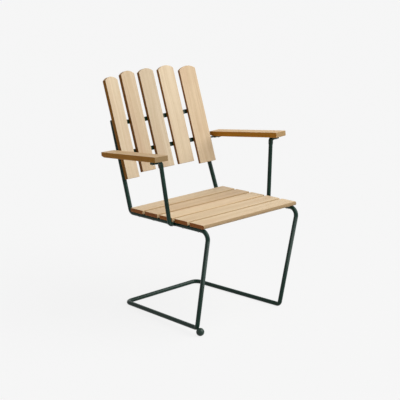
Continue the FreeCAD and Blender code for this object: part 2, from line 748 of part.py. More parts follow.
def neck_shape(centre, rise, radius, corners):
    """Round end drawn out to a rectangle: each corner takes a quarter of the round's sides."""
    thin = corners[1] - corners[0]
    across = (thin - rise * thin.dot(rise)).normalize()
    side = rise.cross(across)
    if side.dot(corners[2] - corners[1]) < 0:
        side = -side
    ring = []
    for number in range(NECK_SIDES):
        angle = math.pi + 2 * math.pi * number / NECK_SIDES
        ring.append(centre + (across * math.cos(angle) + side * math.sin(angle)) * radius)
    outlines = [ring, corners]
    quarter = NECK_SIDES // 4
    for number, corner in enumerate(corners):
        arc = (ring + ring[:1])[number * quarter : (number + 1) * quarter + 1]
        outlines.append([arc[0], corners[number - 1], corner])
        outlines.extend([first, second, corner] for first, second in zip(arc, arc[1:]))
    faces = [Part.Face(Part.makePolygon(outline + outline[:1])) for outline in outlines]
    return Part.makeSolid(Part.makeShell(faces))


def make_left_support():
    """Round bar from the seat rail's side up to the armrest, its top flattened to a tab."""
    frame = tab_frame()
    leg_end = frame.multVec(Vector(size("support_arm_inset"), 0, -size("tab_leg")))
    on_rail = rail_point(size("support_seat_setback"))
    foot = seat_frame().multVec(on_rail) + Z_AXIS * size("support_foot_rise")
    knee = foot + X_AXIS * size("support_stand_off")
    rise = (leg_end - knee).normalize()
    neck = leg_end - rise * size("flatten_length")
    diameter = size("support_diameter")
    bar = round_bar([foot, knee, neck], [size("support_bend_radius")], diameter)
    half_thick = size("tab_thickness") / 2
    half_wide = size("tab_width") / 2
    level = -size("tab_leg")
    corners = [
        frame.multVec(Vector(size("support_arm_inset") + x, y, level))
        for x, y in (
            (-half_thick, -half_wide),
            (half_thick, -half_wide),
            (half_thick, half_wide),
            (-half_thick, half_wide),
        )
    ]
    transition = neck_shape(neck, rise, diameter / 2, corners)
    strip = tab_strip()
    strip.Placement = frame
    solid = bar.fuse([transition, strip]).removeSplitter()
    rail_start = seat_frame().multVec(rail_point(0))
    rail_way = POST_FOOT - rail_start
    rail = Part.makeCylinder(size("bar_diameter") / 2, rail_way.Length, rail_start, rail_way)
    shape = doc.addObject("Part::Feature", "support_bar")
    shape.Shape = solid.cut(rail)
    return drilled("left_arm_support", shape, tab_holes(arm_screw_places()[:2], "tab_thickness"))


def tab_holes(places, thickness_name):
    """Clearance holes through a tab or lug, along the screws' axes."""
    tools = []
    for place in places:
        below = Placement(Vector(0, 0, -size(thickness_name) - size("hole_overrun")), Rotation())
        through = "sizes.%s + 2 * sizes.hole_overrun" % thickness_name
        tools.append(hole_tool("tab_hole", through, place * below))
    return tools


def make_left_lug():
    """Flat lug that carries the armrest's rear end, butted against the back post."""
    frame, length = lug_frame()
    plate = doc.addObject("Part::Box", "lug_plate")
    plate.Length = length
    plate.setExpression("Width", "sizes.lug_width")
    plate.setExpression("Height", "sizes.lug_thickness")
    corner = Vector(0, -size("lug_width") / 2, -size("lug_thickness"))
    plate.Placement = frame * Placement(corner, Rotation())
    post = doc.addObject("Part::Cylinder", "post_way")
    post.setExpression("Radius", "sizes.bar_diameter / 2")
    post.Height = (frame_points()[-1] - POST_FOOT).Length + size("hole_overrun")
    post.Placement = Placement(POST_FOOT, Rotation(Z_AXIS, POST_DIRECTION))
    tools = tab_holes(arm_screw_places()[2:], "lug_thickness")
    return drilled("left_arm_lug", plate, tools + [post])


def make_mirror(node, source):
    """The sitter's right copy of a left piece."""
    twin = doc.addObject("Part::Mirroring", node)
    twin.Source = source
    twin.Normal = X_AXIS
    twin.Label = node
    return twin


# Screws


def screw_shape(grip_rule):
    """Screw along Z with its head's seat at the origin; grip is what it passes before the board."""
    shank = doc.addObject("Part::Prism", "screw_shank")
    shank.Polygon = SHANK_SIDES
    shank.setExpression("Circumradius", "sizes.screw_diameter / 2")
    shank.setExpression("Height", "%s + sizes.screw_bite" % grip_rule)
    head = doc.addObject("Part::Prism", "screw_head")
    head.Polygon = HEAD_SIDES
    head.setExpression("Circumradius", "sizes.screw_head_diameter / 2")
    head.setExpression("Height", "sizes.screw_head_height")
    head.setExpression("Placement.Base.z", "-sizes.screw_head_height")
    whole = doc.addObject("Part::MultiFuse", "screw")
    whole.Shapes = [head, shank]
    doc.recompute()
    return whole


def make_screws(node, source, places, both_sides=False):
    """Group of identical screws, one solid at each place, and mirrored if asked."""
    screws = [source.Shape.transformed(place.toMatrix()) for place in places]
    if both_sides:
        screws = screws + [screw.mirror(Vector(), X_AXIS) for screw in screws]
    group = doc.addObject("Part::Feature", node)
    group.Shape = Part.makeCompound(screws)
    group.Label = node
    return group


def lowered(places, distance):
    """Places moved along their own -Z."""
    return [place * Placement(Vector(0, 0, -distance), Rotation()) for place in places]


def make_all_screws():
    """Seat, back and armrest screws, each kind a node of its own."""
    on_bar = size("bar_diameter") / 2 - size("flat_depth")
    seat = screw_shape("sizes.bar_diameter - sizes.flat_depth")
    back = screw_shape(BACK_GRIP)
    tab = screw_shape("sizes.tab_thickness")
    lug = screw_shape("sizes.lug_thickness")
    left = arm_screw_places()
    tabs = lowered(left[:2], size("tab_thickness"))
    lugs = lowered(left[2:], size("lug_thickness"))
    return [
        make_screws("seat_screws", seat, lowered(seat_screw_places(), on_bar)),
        make_screws("back_screws", back, back_screw_places()),
        make_screws("arm_front_screws", tab, tabs, True),
        make_screws("arm_rear_screws", lug, lugs, True),
    ]


def make_nodes():
    """Build every piece and return the objects that become nodes."""
    nodes = [make_frame(), make_ball_foot()]
    nodes.append(make_back_rail("lower_back_rail", "lower_rail_rise"))
    nodes.append(make_back_rail("upper_back_rail", "upper_rail_rise"))
    for number in range(1, BACK_SLAT_COUNT + 1):
        nodes.append(make_back_slat(number))
    for number in range(1, SEAT_SLAT_COUNT + 1):
        nodes.append(make_seat_slat(number))
    for left in (make_left_armrest(), make_left_support(), make_left_lug()):
        nodes.append(left)
        nodes.append(make_mirror(left.Label.replace("left", "right"), left))
    return nodes + make_all_screws()


def check(nodes):
    """Stop if any object failed or any node's shape is empty or invalid."""
    for item in doc.Objects:
        if "Invalid" in item.State or "Error" in item.State:
            raise RuntimeError("%s failed: %s" % (item.Label, item.State))
    for node in nodes:
        shape = node.Shape
        if shape.isNull() or not shape.isValid() or not shape.Solids:
            raise RuntimeError("%s has no valid solid" % node.Label)


def export(nodes):
    """Write one STEP file per node."""
    os.makedirs("parts", exist_ok=True)
    for node in nodes:
        node.Shape.exportStep("parts/%s.step" % node.Label)


node_objects = make_nodes()
doc.recompute()
check(node_objects)
export(node_objects)

whole_box = FreeCAD.BoundBox()
for node_object in node_objects:
    whole_box.add(node_object.Shape.BoundBox)
    shape = node_object.Shape
    print("%-18s %2d solid(s) %10.0f mm3" % (node_object.Label, len(shape.Solids), shape.Volume))
print("box", whole_box)
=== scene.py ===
"""Cantilever garden armchair: oiled boards on a bent green bar, with its light and camera.

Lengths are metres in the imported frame: +Z up, the sitter faces -Y, +X is the sitter's left.
Each surface is a grid of points worked out with numpy and put into a mesh in one go.
"""

import enum
import logging
import math
from dataclasses import dataclass, field, replace
from typing import Sequence

import bpy
import numpy as np
from mathutils import Matrix, Quaternion, Vector


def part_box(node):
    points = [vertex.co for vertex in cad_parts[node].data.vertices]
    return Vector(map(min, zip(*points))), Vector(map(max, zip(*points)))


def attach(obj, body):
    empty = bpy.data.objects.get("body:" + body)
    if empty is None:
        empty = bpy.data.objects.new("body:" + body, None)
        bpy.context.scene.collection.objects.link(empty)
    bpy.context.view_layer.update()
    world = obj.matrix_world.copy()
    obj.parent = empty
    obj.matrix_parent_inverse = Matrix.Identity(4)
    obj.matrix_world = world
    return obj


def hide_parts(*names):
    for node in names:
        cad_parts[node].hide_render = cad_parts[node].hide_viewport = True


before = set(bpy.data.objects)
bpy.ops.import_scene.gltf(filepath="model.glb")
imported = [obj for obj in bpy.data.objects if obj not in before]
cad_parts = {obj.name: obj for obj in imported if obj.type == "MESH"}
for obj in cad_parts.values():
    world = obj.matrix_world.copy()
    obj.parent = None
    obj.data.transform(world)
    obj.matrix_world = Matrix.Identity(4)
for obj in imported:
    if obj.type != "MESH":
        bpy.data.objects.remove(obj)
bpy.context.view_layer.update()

log = logging.getLogger("armchair")

Colour = tuple[float, float, float]
Point = tuple[float, float, float]
Span = tuple[float, float, float, float]
Socket = bpy.types.NodeSocket
ROOT = "root"
UP = Vector((0.0, 0.0, 1.0))


def from_srgb(*colours: Colour) -> list[Colour]:
    """Turn 8-bit screen colours into the linear colours that a shader takes.

    Args:
        *colours: Red, green and blue of each, 0 to 255.

    Returns:
        Linear colours: a share s becomes ((s + 0.055) / 1.055) ^ 2.4, or s / 12.92 near black.
    """
    shares = np.array(colours) / 255.0
    linear = np.where(shares <= 0.04045, shares / 12.92, ((shares + 0.055) / 1.055) ** 2.4)
    return [tuple(colour) for colour in linear.tolist()]


class Slot(enum.Enum):
    """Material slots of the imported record."""

    PAINT = "green_paint"
    WOOD = "oiled_wood"
    STEEL = "zinc_steel"


class Side(enum.Enum):
    """The sitter's left or right, as the sign of X."""

    LEFT = 1
    RIGHT = -1

    @property
    def word(self) -> str:
        """Lower-case name of the side."""
        return self.name.lower()


# Shader graphs


class Graph:
    """The node tree of a material or world, with short calls for the nodes used here."""

    def __init__(self, owner: bpy.types.ID, output: str = "ShaderNodeOutputMaterial") -> None:
        """Empty the owner's tree and add its output.

        Args:
            owner: Material or world.
            output: Type of the output node.
        """
        owner.use_nodes = True
        self.owner = owner
        self.tree = owner.node_tree
        self.tree.nodes.clear()
        self.output = self.tree.nodes.new(output)

    @classmethod
    def material(cls, name: str) -> "Graph":
        """Graph of a new material."""
        return cls(bpy.data.materials.new(name))

    def node(self, kind: str, inputs: dict | None = None, **settings: object) -> bpy.types.Node:
        """Add a node, set its options, and set or link its inputs.

        Args:
            kind: Node type.
            inputs: Socket name or number to a value, an opaque colour or another socket.
            **settings: Options of the node itself.

        Returns:
            The new node.
        """
        made = self.tree.nodes.new(kind)
        for option, value in settings.items():
            setattr(made, option, value)
        for key, value in (inputs or {}).items():
            socket = made.inputs[key]
            if isinstance(value, Socket):
                self.tree.links.new(value, socket)
            else:
                socket.default_value = (*value, 1.0) if socket.type == "RGBA" else value
        return made

    def math(self, operation: str, first: object, second: object = 0.0) -> Socket:
        """Arithmetic on one or two values."""
        return self.node("ShaderNodeMath", {0: first, 1: second}, operation=operation).outputs[0]

    def noise(self, vector: Socket, stretch: Point, detail: float, rough: float = 0.5) -> Socket:
        """Fractal noise on a coordinate that is multiplied by a stretch on each axis."""
        inputs = {"Vector": vector, "Scale": stretch}
        stretched = self.node("ShaderNodeMapping", inputs, vector_type="POINT").outputs[0]
        inputs = {"Vector": stretched, "Scale": 1.0, "Detail": detail, "Roughness": rough}
        return self.node("ShaderNodeTexNoise", inputs).outputs[0]

    def ranged(self, value: Socket, span: Span) -> Socket:
        """A value mapped from one range to another and held inside it."""
        inputs = dict(enumerate((value, *span)))
        return self.node("ShaderNodeMapRange", inputs, clamp=True).outputs[0]

    def mixed(self, share: object, first: object, second: object, way: str = "MIX") -> Socket:
        """Two colours mixed by the share of the second, in a blend type's way."""
        inputs = {0: share, 6: first, 7: second}
        return self.node("ShaderNodeMix", inputs, data_type="RGBA", blend_type=way).outputs[2]

    def attribute(self, name: str, output: str) -> Socket:
        """A named attribute of the mesh."""
        return self.node("ShaderNodeAttribute", attribute_name=name).outputs[output]

    def place(self) -> Socket:
        """Coordinates on the object, in metres."""
        return self.node("ShaderNodeTexCoord").outputs["Object"]

    def finished(self, shader: bpy.types.Node) -> bpy.types.ID:
        """Join a shader to the output and hand back the material or world."""
        self.tree.links.new(shader.outputs[0], self.output.inputs["Surface"])
        return self.owner

    def surface(self, inputs: dict, bump: tuple[float, float], height: Socket) -> bpy.types.ID:
        """Finish with a principled shader on a bump.

        Args:
            inputs: Inputs of the shader.
            bump: Strength and distance of the bump.
            height: Height that the bump follows.

        Returns:
            The finished material.
        """
        options = {"Strength": bump[0], "Distance": bump[1], "Height": height}
        normal = self.node("ShaderNodeBump", options).outputs[0]
        return self.finished(self.node("ShaderNodeBsdfPrincipled", {**inputs, "Normal": normal}))

    def backdrop(self, plain: bpy.types.Node, shown: bpy.types.Node) -> bpy.types.ID:
        """Finish with one shader for the camera, gloss and glass, and another for other light.

        Args:
            plain: Shader that lights the chair.
            shown: Shader that is seen.

        Returns:
            The finished material or world.
        """
        path = self.node("ShaderNodeLightPath").outputs
        straight = path["Is Camera Ray"]
        for name in ("Is Glossy Ray", "Is Transmission Ray"):
            straight = self.math("MAXIMUM", straight, path[name])
        inputs = {0: straight, 1: plain.outputs[0], 2: shown.outputs[0]}
        return self.finished(self.node("ShaderNodeMixShader", inputs))


@dataclass(frozen=True)
class WoodFinish:
    """Oiled wood: fibres and growth rings along each board, with sawn edges and end grain darker
    partly by their own colour and partly by painted shade.

    A board's mesh carries the coordinates: grain_place (along, across, through), grain_way
    (the surface's direction in the same axes), wear and tint. A stretch scales a noise on the
    same axes, per metre. A span maps its first two values to its last two.
    """

    name: str
    pale: Colour
    deep: Colour
    flush: Colour
    side: Colour
    end: Colour
    side_shade_share: float = 1.0
    side_start: float = 0.45
    gloss: float = 0.3
    side_ramp: float = 0.45
    drift_stretch: Point = (3.1, 17.0, 17.0)
    drift_reach: float = 0.028
    ring_scale: float = 74.0
    ring_bend: float = 1.6
    ring_share: float = 0.15
    fibre_stretch: Point = (9.0, 620.0, 620.0)
    fibre_share: float = 0.42
    streak_stretch: Point = (1.7, 64.0, 64.0)
    streak_share: float = 0.46
    cloud_stretch: Point = (3.4, 19.0, 19.0)
    cloud_share: float = 0.34
    pore_stretch: Point = (70.0, 2300.0, 2300.0)
    pore_share: float = 0.22
    depth_span: Span = (0.42, 0.94, 0.0, 1.0)
    flush_span: Span = (0.5, 0.8, 0.0, 0.5)
    end_span: Span = (0.45, 0.9, 0.0, 1.0)
    pore_span: Span = (0.6, 0.74, 0.0, 1.0)
    wear_span: Span = (0.35, 0.7, 0.05, 0.3)
    rough_span: Span = (0.3, 0.7, 0.48, 0.66)
    bump: tuple[float, float] = (0.22, 0.0004)
    sheen: float = 0.04

    def build(self) -> bpy.types.Material:
        """Make the wood."""
        graph = Graph.material(self.name)
        place = graph.attribute("grain_place", "Vector")
        drift = graph.noise(place, self.drift_stretch, 2.0)
        lean = graph.math("MULTIPLY", graph.math("SUBTRACT", drift, 0.5), self.drift_reach)
        sideways = graph.node("ShaderNodeCombineXYZ", {"Y": lean}).outputs[0]
        inputs = {0: place, 1: sideways}
        warped = graph.node("ShaderNodeVectorMath", inputs, operation="ADD").outputs[0]
        inputs = {"Vector": warped, "Scale": self.ring_scale, "Distortion": self.ring_bend}
        inputs |= {"Detail": 2.0, "Detail Scale": 1.4}
        options = {"wave_type": "RINGS", "rings_direction": "X", "wave_profile": "SIN"}
        rings = graph.node("ShaderNodeTexWave", inputs, **options).outputs["Fac"]
        fibres = graph.noise(warped, self.fibre_stretch, 3.0, 0.6)
        streaks = graph.noise(warped, self.streak_stretch, 2.0, 0.45)
        clouds = graph.noise(place, self.cloud_stretch, 2.0)
        pores = graph.noise(warped, self.pore_stretch, 1.0)
        depth = graph.math("MULTIPLY", rings, self.ring_share)
        shares = (self.fibre_share, self.streak_share, self.cloud_share)
        for part, share in zip((fibres, streaks, clouds), shares):
            depth = graph.math("ADD", depth, graph.math("MULTIPLY", part, share))
        depth = graph.ranged(depth, self.depth_span)
        face = graph.mixed(depth, self.pale, self.deep)
        face = graph.mixed(graph.ranged(clouds, self.flush_span), face, self.flush)
        way = graph.node("ShaderNodeSeparateXYZ", {0: graph.attribute("grain_way", "Vector")})
        # Painted shade, in part: a board's long edges take the darker side colour on both sides, and
        # the seat boards' end grain takes a dark end colour. Both are partly the sawn wood's own
        # colour and partly shade painted in.
        end_mask = graph.ranged(graph.math("ABSOLUTE", way.outputs[0]), self.end_span)
        span = (self.side_start, self.side_start + self.side_ramp, 0.0, self.side_shade_share)
        side_shade_mask = graph.ranged(graph.math("ABSOLUTE", way.outputs[1]), span)
        side = graph.mixed(graph.math("MULTIPLY", depth, 0.45), self.side, self.deep, "MULTIPLY")
        end = graph.mixed(graph.math("MULTIPLY", rings, 0.5), self.end, self.deep, "MULTIPLY")
        colour = graph.mixed(end_mask, graph.mixed(side_shade_mask, face, side), end)
        pits = graph.ranged(pores, self.pore_span)
        colour = graph.mixed(graph.math("MULTIPLY", pits, self.pore_share), colour, self.side)
        worn = graph.ranged(clouds, self.wear_span)
        rubbed = graph.math("MULTIPLY", graph.attribute("wear", "Fac"), worn)
        colour = graph.mixed(rubbed, colour, self.pale)
        # The tint carries each board's own tone, and painted shade that darkens it towards its foot.
        colour = graph.mixed(1.0, colour, graph.attribute("tint", "Color"), "MULTIPLY")
        relief = graph.math("SUBTRACT", fibres, graph.math("MULTIPLY", pits, 0.6))
        inputs = {"Base Color": colour, "Roughness": graph.ranged(fibres, self.rough_span)}
        inputs |= {"Specular IOR Level": self.gloss, "Sheen Weight": self.sheen}
        return graph.surface(inputs, self.bump, relief)


@dataclass(frozen=True)
class PaintFinish:
    """Satin paint on steel: slow colour drift, faint orange peel, scuffs where it meets the floor."""

    name: str
    body: Colour
    thin: Colour
    scuff: Colour
    gloss: float = 0.17
    drift_scale: float = 19.0
    speck_scale: float = 420.0
    peel_scale: float = 900.0
    drift_span: Span = (0.35, 0.68, 0.0, 1.0)
    floor_span: Span = (0.0, 0.004, 1.0, 0.0)
    speck_span: Span = (0.5, 0.62, 0.0, 0.8)
    rough_span: Span = (0.3, 0.7, 0.24, 0.36)
    bump: tuple[float, float] = (0.08, 0.0002)

    def build(self) -> bpy.types.Material:
        """Make the paint."""
        graph = Graph.material(self.name)
        place = graph.place()
        drift = graph.noise(place, (self.drift_scale,) * 3, 3.0)
        specks = graph.noise(place, (self.speck_scale,) * 3, 2.0)
        peel = graph.noise(place, (self.peel_scale,) * 3, 1.0)
        colour = graph.mixed(graph.ranged(drift, self.drift_span), self.body, self.thin)
        height = graph.node("ShaderNodeSeparateXYZ", {0: place}).outputs[2]
        low = graph.ranged(height, self.floor_span)
        rubbed = graph.math("MULTIPLY", low, graph.ranged(specks, self.speck_span))
        inputs = {
            "Base Color": graph.mixed(rubbed, colour, self.scuff),
            "Roughness": graph.ranged(drift, self.rough_span),
            "Specular IOR Level": self.gloss,
        }
        return graph.surface(inputs, self.bump, peel)


@dataclass(frozen=True)
class SteelFinish:
    """Zinc-plated steel: cloudy plating with fine turning marks."""

    name: str
    bright: Colour
    dull: Colour
    cloud_scale: float = 260.0
    mark_scale: float = 2600.0
    cloud_span: Span = (0.3, 0.7, 0.0, 1.0)
    rough_span: Span = (0.3, 0.7, 0.3, 0.48)
    bump: tuple[float, float] = (0.12, 0.0001)

    def build(self) -> bpy.types.Material:
        """Make the plated steel."""
        graph = Graph.material(self.name)
        place = graph.place()
        clouds = graph.noise(place, (self.cloud_scale,) * 3, 3.0)
        marks = graph.noise(place, (self.mark_scale,) * 3, 1.0)
        inputs = {
            "Base Color": graph.mixed(graph.ranged(clouds, self.cloud_span), self.bright, self.dull),
            "Metallic": 1.0,
            "Roughness": graph.ranged(clouds, self.rough_span),
        }
        return graph.surface(inputs, self.bump, marks)


@dataclass(frozen=True)
class FloorFinish:
    """Pale matt floor: the camera sees mostly its own flat colour and a faint shadow."""

    name: str
    seen: Colour
    matt: Colour
    plain_share: float = 0.92
    grit_scale: float = 35.0
    grit_span: Span = (0.3, 0.7, 0.0, 1.0)
    grit_shade: float = 0.985

    def build(self) -> bpy.types.Material:
        """Make the floor."""
        graph = Graph.material(self.name)
        grit = graph.noise(graph.place(), (self.grit_scale,) * 3, 2.0)
        shaded = tuple(part * self.grit_shade for part in self.seen)
        colour = graph.mixed(graph.ranged(grit, self.grit_span), self.seen, shaded)
        lit = graph.node("ShaderNodeBsdfDiffuse", {"Color": colour}).outputs[0]
        flat = graph.node("ShaderNodeEmission", {"Color": self.seen, "Strength": 1.0}).outputs[0]
        shown = graph.node("ShaderNodeMixShader", {0: self.plain_share, 1: lit, 2: flat})
        return graph.backdrop(graph.node("ShaderNodeBsdfDiffuse", {"Color": self.matt}), shown)


@dataclass(frozen=True)
class Finishes:
    """All the finishes of the chair, built once."""

    paint: bpy.types.Material
    ball: bpy.types.Material
    steel: bpy.types.Material
    back: bpy.types.Material
    seat: bpy.types.Material
    nose: bpy.types.Material
    arm: bpy.types.Material

    @classmethod
    def make(cls) -> "Finishes":
        """Build every finish.

        Returns:
            The chair's materials.
        """
        paint = PaintFinish(
            "satin_green_paint", *from_srgb((12, 42, 32), (17, 48, 38), (74, 80, 74))
        )
        ball = PaintFinish(
            "matt_green_ball_paint", *from_srgb((30, 50, 43), (37, 56, 49), (84, 90, 84)), gloss=0.25
        )
        steel = SteelFinish("zinc_plated_steel", (0.62, 0.62, 0.6), (0.44, 0.44, 0.43))
        # Each list: pale, deep, flush, side and end colour. The dark, orange side colours, and the
        # seat boards' dark end colour, are partly the oiled edge grain's own colour and partly painted
        # shade.
        tones = (236, 219, 191), (208, 187, 153), (214, 184, 156), (160, 106, 12), (190, 150, 100)
        back = WoodFinish("oiled_back_boards", *from_srgb(*tones), gloss=0.24)
        tones = (232, 210, 177), (204, 176, 137), (214, 180, 148), (198, 170, 128), (160, 92, 20)
        seat = WoodFinish("oiled_seat_boards", *from_srgb(*tones), side_shade_share=0.85, gloss=0.22)
        # Painted shade: the front seat board's rounded nose and front edge take this darker side
        # colour from a low slope on.
        (side,) = from_srgb((156, 131, 95))
        nose = replace(
            seat, name="oiled_front_seat_board", side=side, side_shade_share=1.0, side_start=0.1
        )
        tones = (208, 180, 142), (182, 150, 108), (192, 154, 116), (184, 126, 34), (160, 134, 94)
        arm = WoodFinish("oiled_arm_boards", *from_srgb(*tones), gloss=0.16)
        return cls(*(finish.build() for finish in (paint, ball, steel, back, seat, nose, arm)))


# Surfaces as grids of points


def unit(vectors: np.ndarray) -> np.ndarray:
    """Vectors divided by their lengths, along the last axis."""
    lengths = np.linalg.norm(vectors, axis=-1, keepdims=True)
    return vectors / np.maximum(lengths, 1e-12)


def moved(points: np.ndarray, place: Matrix) -> np.ndarray:
    """Points turned and shifted by a 4 x 4 place."""
    matrix = np.array(place)
    return points @ matrix[:3, :3].T + matrix[:3, 3]


@dataclass
class Skin:
    """A closed skin on a grid: rows run from one cap to the other, columns run round it.

    Both caps are flat faces on the first and last row. The normal of a point is the cross
    product of the steps round and along the grid, and a cap row takes its cap's own normal.
    """

    grid: np.ndarray
    data: dict[str, np.ndarray] = field(default_factory=dict)

    def faces(self, start: int) -> list[list[int]]:
        """Quads between neighbouring rows and the two caps.

        Args:
            start: Number of the skin's first vertex in the mesh.

        Returns:
            Vertex numbers of each face, outwards.
        """
        rows, columns = self.grid.shape[:2]
        row, column = np.meshgrid(np.arange(rows - 1), np.arange(columns), indexing="ij")
        ahead = (column + 1) % columns
        corners = (row * columns + column, row * columns + ahead)
        quads = np.stack((*corners, corners[1] + columns, corners[0] + columns), axis=-1)
        first = np.arange(columns)[::-1] + start
        last = np.arange(columns) + (rows - 1) * columns + start
        return (quads.reshape(-1, 4) + start).tolist() + [first.tolist(), last.tolist()]

    def normals(self) -> np.ndarray:
        """Unit normal of each point, row by row."""
        round_it = np.roll(self.grid, -1, axis=1) - np.roll(self.grid, 1, axis=1)
        along = np.gradient(self.grid, axis=0)
        normal = unit(np.cross(round_it, along))
        for row, sign in ((0, -1.0), (-1, 1.0)):
            spokes = self.grid[row] - self.grid[row].mean(axis=0)
            area = np.cross(spokes, np.roll(spokes, -1, axis=0)).sum(axis=0)
            normal[row] = sign * unit(area)
        return normal

    def mirrored(self) -> "Skin":
        """The same skin on the other side of the middle plane, still facing outwards."""
        flipped = self.grid[:, ::-1] * np.array((-1.0, 1.0, 1.0))
        return Skin(flipped, {key: value[:, ::-1] for key, value in self.data.items()})


def add_object(name: str, content: bpy.types.ID) -> bpy.types.Object:
    """Put a mesh, lamp or camera into the scene under a name."""
    made = bpy.data.objects.new(name, content)
    bpy.context.scene.collection.objects.link(made)
    return made


def make_piece(
    name: str,
    skins: Sequence[Skin],
    material: bpy.types.Material,
    slot: Slot,
    stands_for: Sequence[str] = (),
) -> bpy.types.Object:
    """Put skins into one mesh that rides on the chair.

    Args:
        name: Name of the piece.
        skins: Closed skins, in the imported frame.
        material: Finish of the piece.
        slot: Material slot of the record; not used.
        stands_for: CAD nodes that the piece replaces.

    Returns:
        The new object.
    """
    faces: list[list[int]] = []
    start = 0
    for skin in skins:
        faces.extend(skin.faces(start))
        start += skin.grid.size // 3
    points = np.concatenate([skin.grid.reshape(-1, 3) for skin in skins])
    normals = np.concatenate([skin.normals().reshape(-1, 3) for skin in skins])
    mesh = bpy.data.meshes.new(name)
    mesh.from_pydata(points.tolist(), [], faces)
    for key in skins[0].data:
        values = [skin.data[key].reshape(skin.grid.size // 3, -1) for skin in skins]
        values = np.concatenate(values).astype(np.float32)
        kind, member = ("FLOAT_VECTOR", "vector") if values.shape[1] == 3 else ("FLOAT", "value")
        mesh.attributes.new(key, kind, "POINT").data.foreach_set(member, values.ravel())
    mesh.materials.append(material)
    mesh.polygons.foreach_set("use_smooth", np.ones(len(faces), dtype=bool))
    mesh.normals_split_custom_set_from_vertices(normals.tolist())
    piece = add_object(name, mesh)
    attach(piece, ROOT)
    if stands_for:
        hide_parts(*stands_for)
    log.info("%s: %d points, stands for %s", name, len(points), ", ".join(stands_for) or "nothing")
    return piece


def bent_path(
    corners: Sequence[Vector], radii: Sequence[float], steps: int
) -> tuple[np.ndarray, np.ndarray]:
    """A line of straight runs whose inner corners are tangent arcs.

    At a corner, with d the way in, n the way from the arc's start to its centre and t from 0 to
    the turn, a point is centre + radius * (d * sin t - n * cos t), and its way is
    d * cos t + n * sin t.

    Args:
        corners: Corner points, ends included.
        radii: Arc radius at each inner corner.
        steps: Steps of each arc.

    Returns:
        Points and unit ways along the line.
    """
    points = [np.array(corners[0])[None]]
    ways = [np.array((corners[1] - corners[0]).normalized())[None]]
    for before, corner, after, radius in zip(corners, corners[1:], corners[2:], radii):
        inward, onward = (corner - before).normalized(), (after - corner).normalized()
        turn = inward.angle(onward)
        middle = (onward - inward).normalized()
        centre = np.array(corner + middle * (radius / math.cos(turn / 2)))
        entry = np.array(corner - inward * (radius * math.tan(turn / 2)))
        spoke = (centre - entry) / radius
        angle = np.linspace(0.0, turn, steps + 1)[:, None]
        points.append(centre + radius * (np.array(inward) * np.sin(angle) - spoke * np.cos(angle)))
        ways.append(np.array(inward) * np.cos(angle) + spoke * np.sin(angle))
    points.append(np.array(corners[-1])[None])
    ways.append(np.array((corners[-1] - corners[-2]).normalized())[None])
    return np.concatenate(points), np.concatenate(ways)


def path_run(points: np.ndarray) -> np.ndarray:
    """How far along its path each point lies."""
    return np.concatenate(([0.0], np.cumsum(np.linalg.norm(np.diff(points, axis=0), axis=1))))


def carried_axes(ways: np.ndarray, hint: Vector | None = None) -> tuple[np.ndarray, np.ndarray]:
    """Two axes square to a path at each of its points, without needless twist.

    Args:
        ways: Unit ways along the path.
        hint: Way that the second axis keeps to as nearly as it can; none lets the axes roll freely.

    Returns:
        First and second axis at each point; their cross product is the way.
    """
    if hint is not None:
        first = unit(np.cross(np.array(hint), ways))
        return first, np.cross(ways, first)
    start = Vector(ways[0]).orthogonal().normalized()
    axes = [start]
    for here, ahead in zip(ways, ways[1:]):
        axes.append((Vector(here).rotation_difference(Vector(ahead)) @ axes[-1]).normalized())
    first = np.array(axes)
    first = unit(first - ways * (first * ways).sum(axis=1, keepdims=True))
    return first, np.cross(ways, first)


def round_section(radii: np.ndarray, sides: int) -> np.ndarray:
    """Circles: (r * cos a, r * sin a) for a from 0 to a full turn, one circle for each radius."""
    angle = np.linspace(0.0, 2 * math.pi, sides, endpoint=False)
    return radii[:, None, None] * np.stack((np.cos(angle), np.sin(angle)), axis=-1)[None]


FLAT_POWER = 9.0
END_RINGS = 4


def flat_section(wide: np.ndarray, tall: np.ndarray, power: np.ndarray, sides: int) -> np.ndarray:
    """Superellipses: x = a * sign(c) * abs(c) ^ (2 / n), and y the same with the sine.

    Args:
        wide: Half widths, one for each section.
        tall: Half heights.
        power: Exponent n: 2 is an ellipse, 10 is nearly a rectangle.
        sides: Points round each section.

    Returns:
        Sections of shape (stations, sides, 2).
    """
    angle = np.linspace(0.0, 2 * math.pi, sides, endpoint=False) + math.pi / sides
    cosine, sine = np.cos(angle)[None], np.sin(angle)[None]
    share = 2.0 / power[:, None]
    across = wide[:, None] * np.sign(cosine) * np.abs(cosine) ** share
    along = tall[:, None] * np.sign(sine) * np.abs(sine) ** share
    return np.stack((across, along), axis=-1)


def swept(points: np.ndarray, axes: tuple[np.ndarray, np.ndarray], sections: np.ndarray) -> Skin:
    """Sections carried along a path: point + first * x + second * y."""
    first, second = axes
    grid = points[:, None] + first[:, None] * sections[..., :1] + second[:, None] * sections[..., 1:]
    return Skin(grid)


def flat_bar(
    path: tuple[np.ndarray, np.ndarray], size: tuple[float, float], sides: int, place: Matrix
) -> Skin:
    """A flat bar whose section keeps one side to Z, moved to its place.

    Args:
        path: Points and unit ways along the bar.
        size: Section across and along Z.
        sides: Points round each section.
        place: Place of the path's axes in the chair.

    Returns:
        The bar's skin.
    """
    ones = np.ones(len(path[0]))
    sections = flat_section(ones * size[0] / 2, ones * size[1] / 2, ones * FLAT_POWER, sides)
    return Skin(moved(swept(path[0], carried_axes(path[1], UP), sections).grid, place))


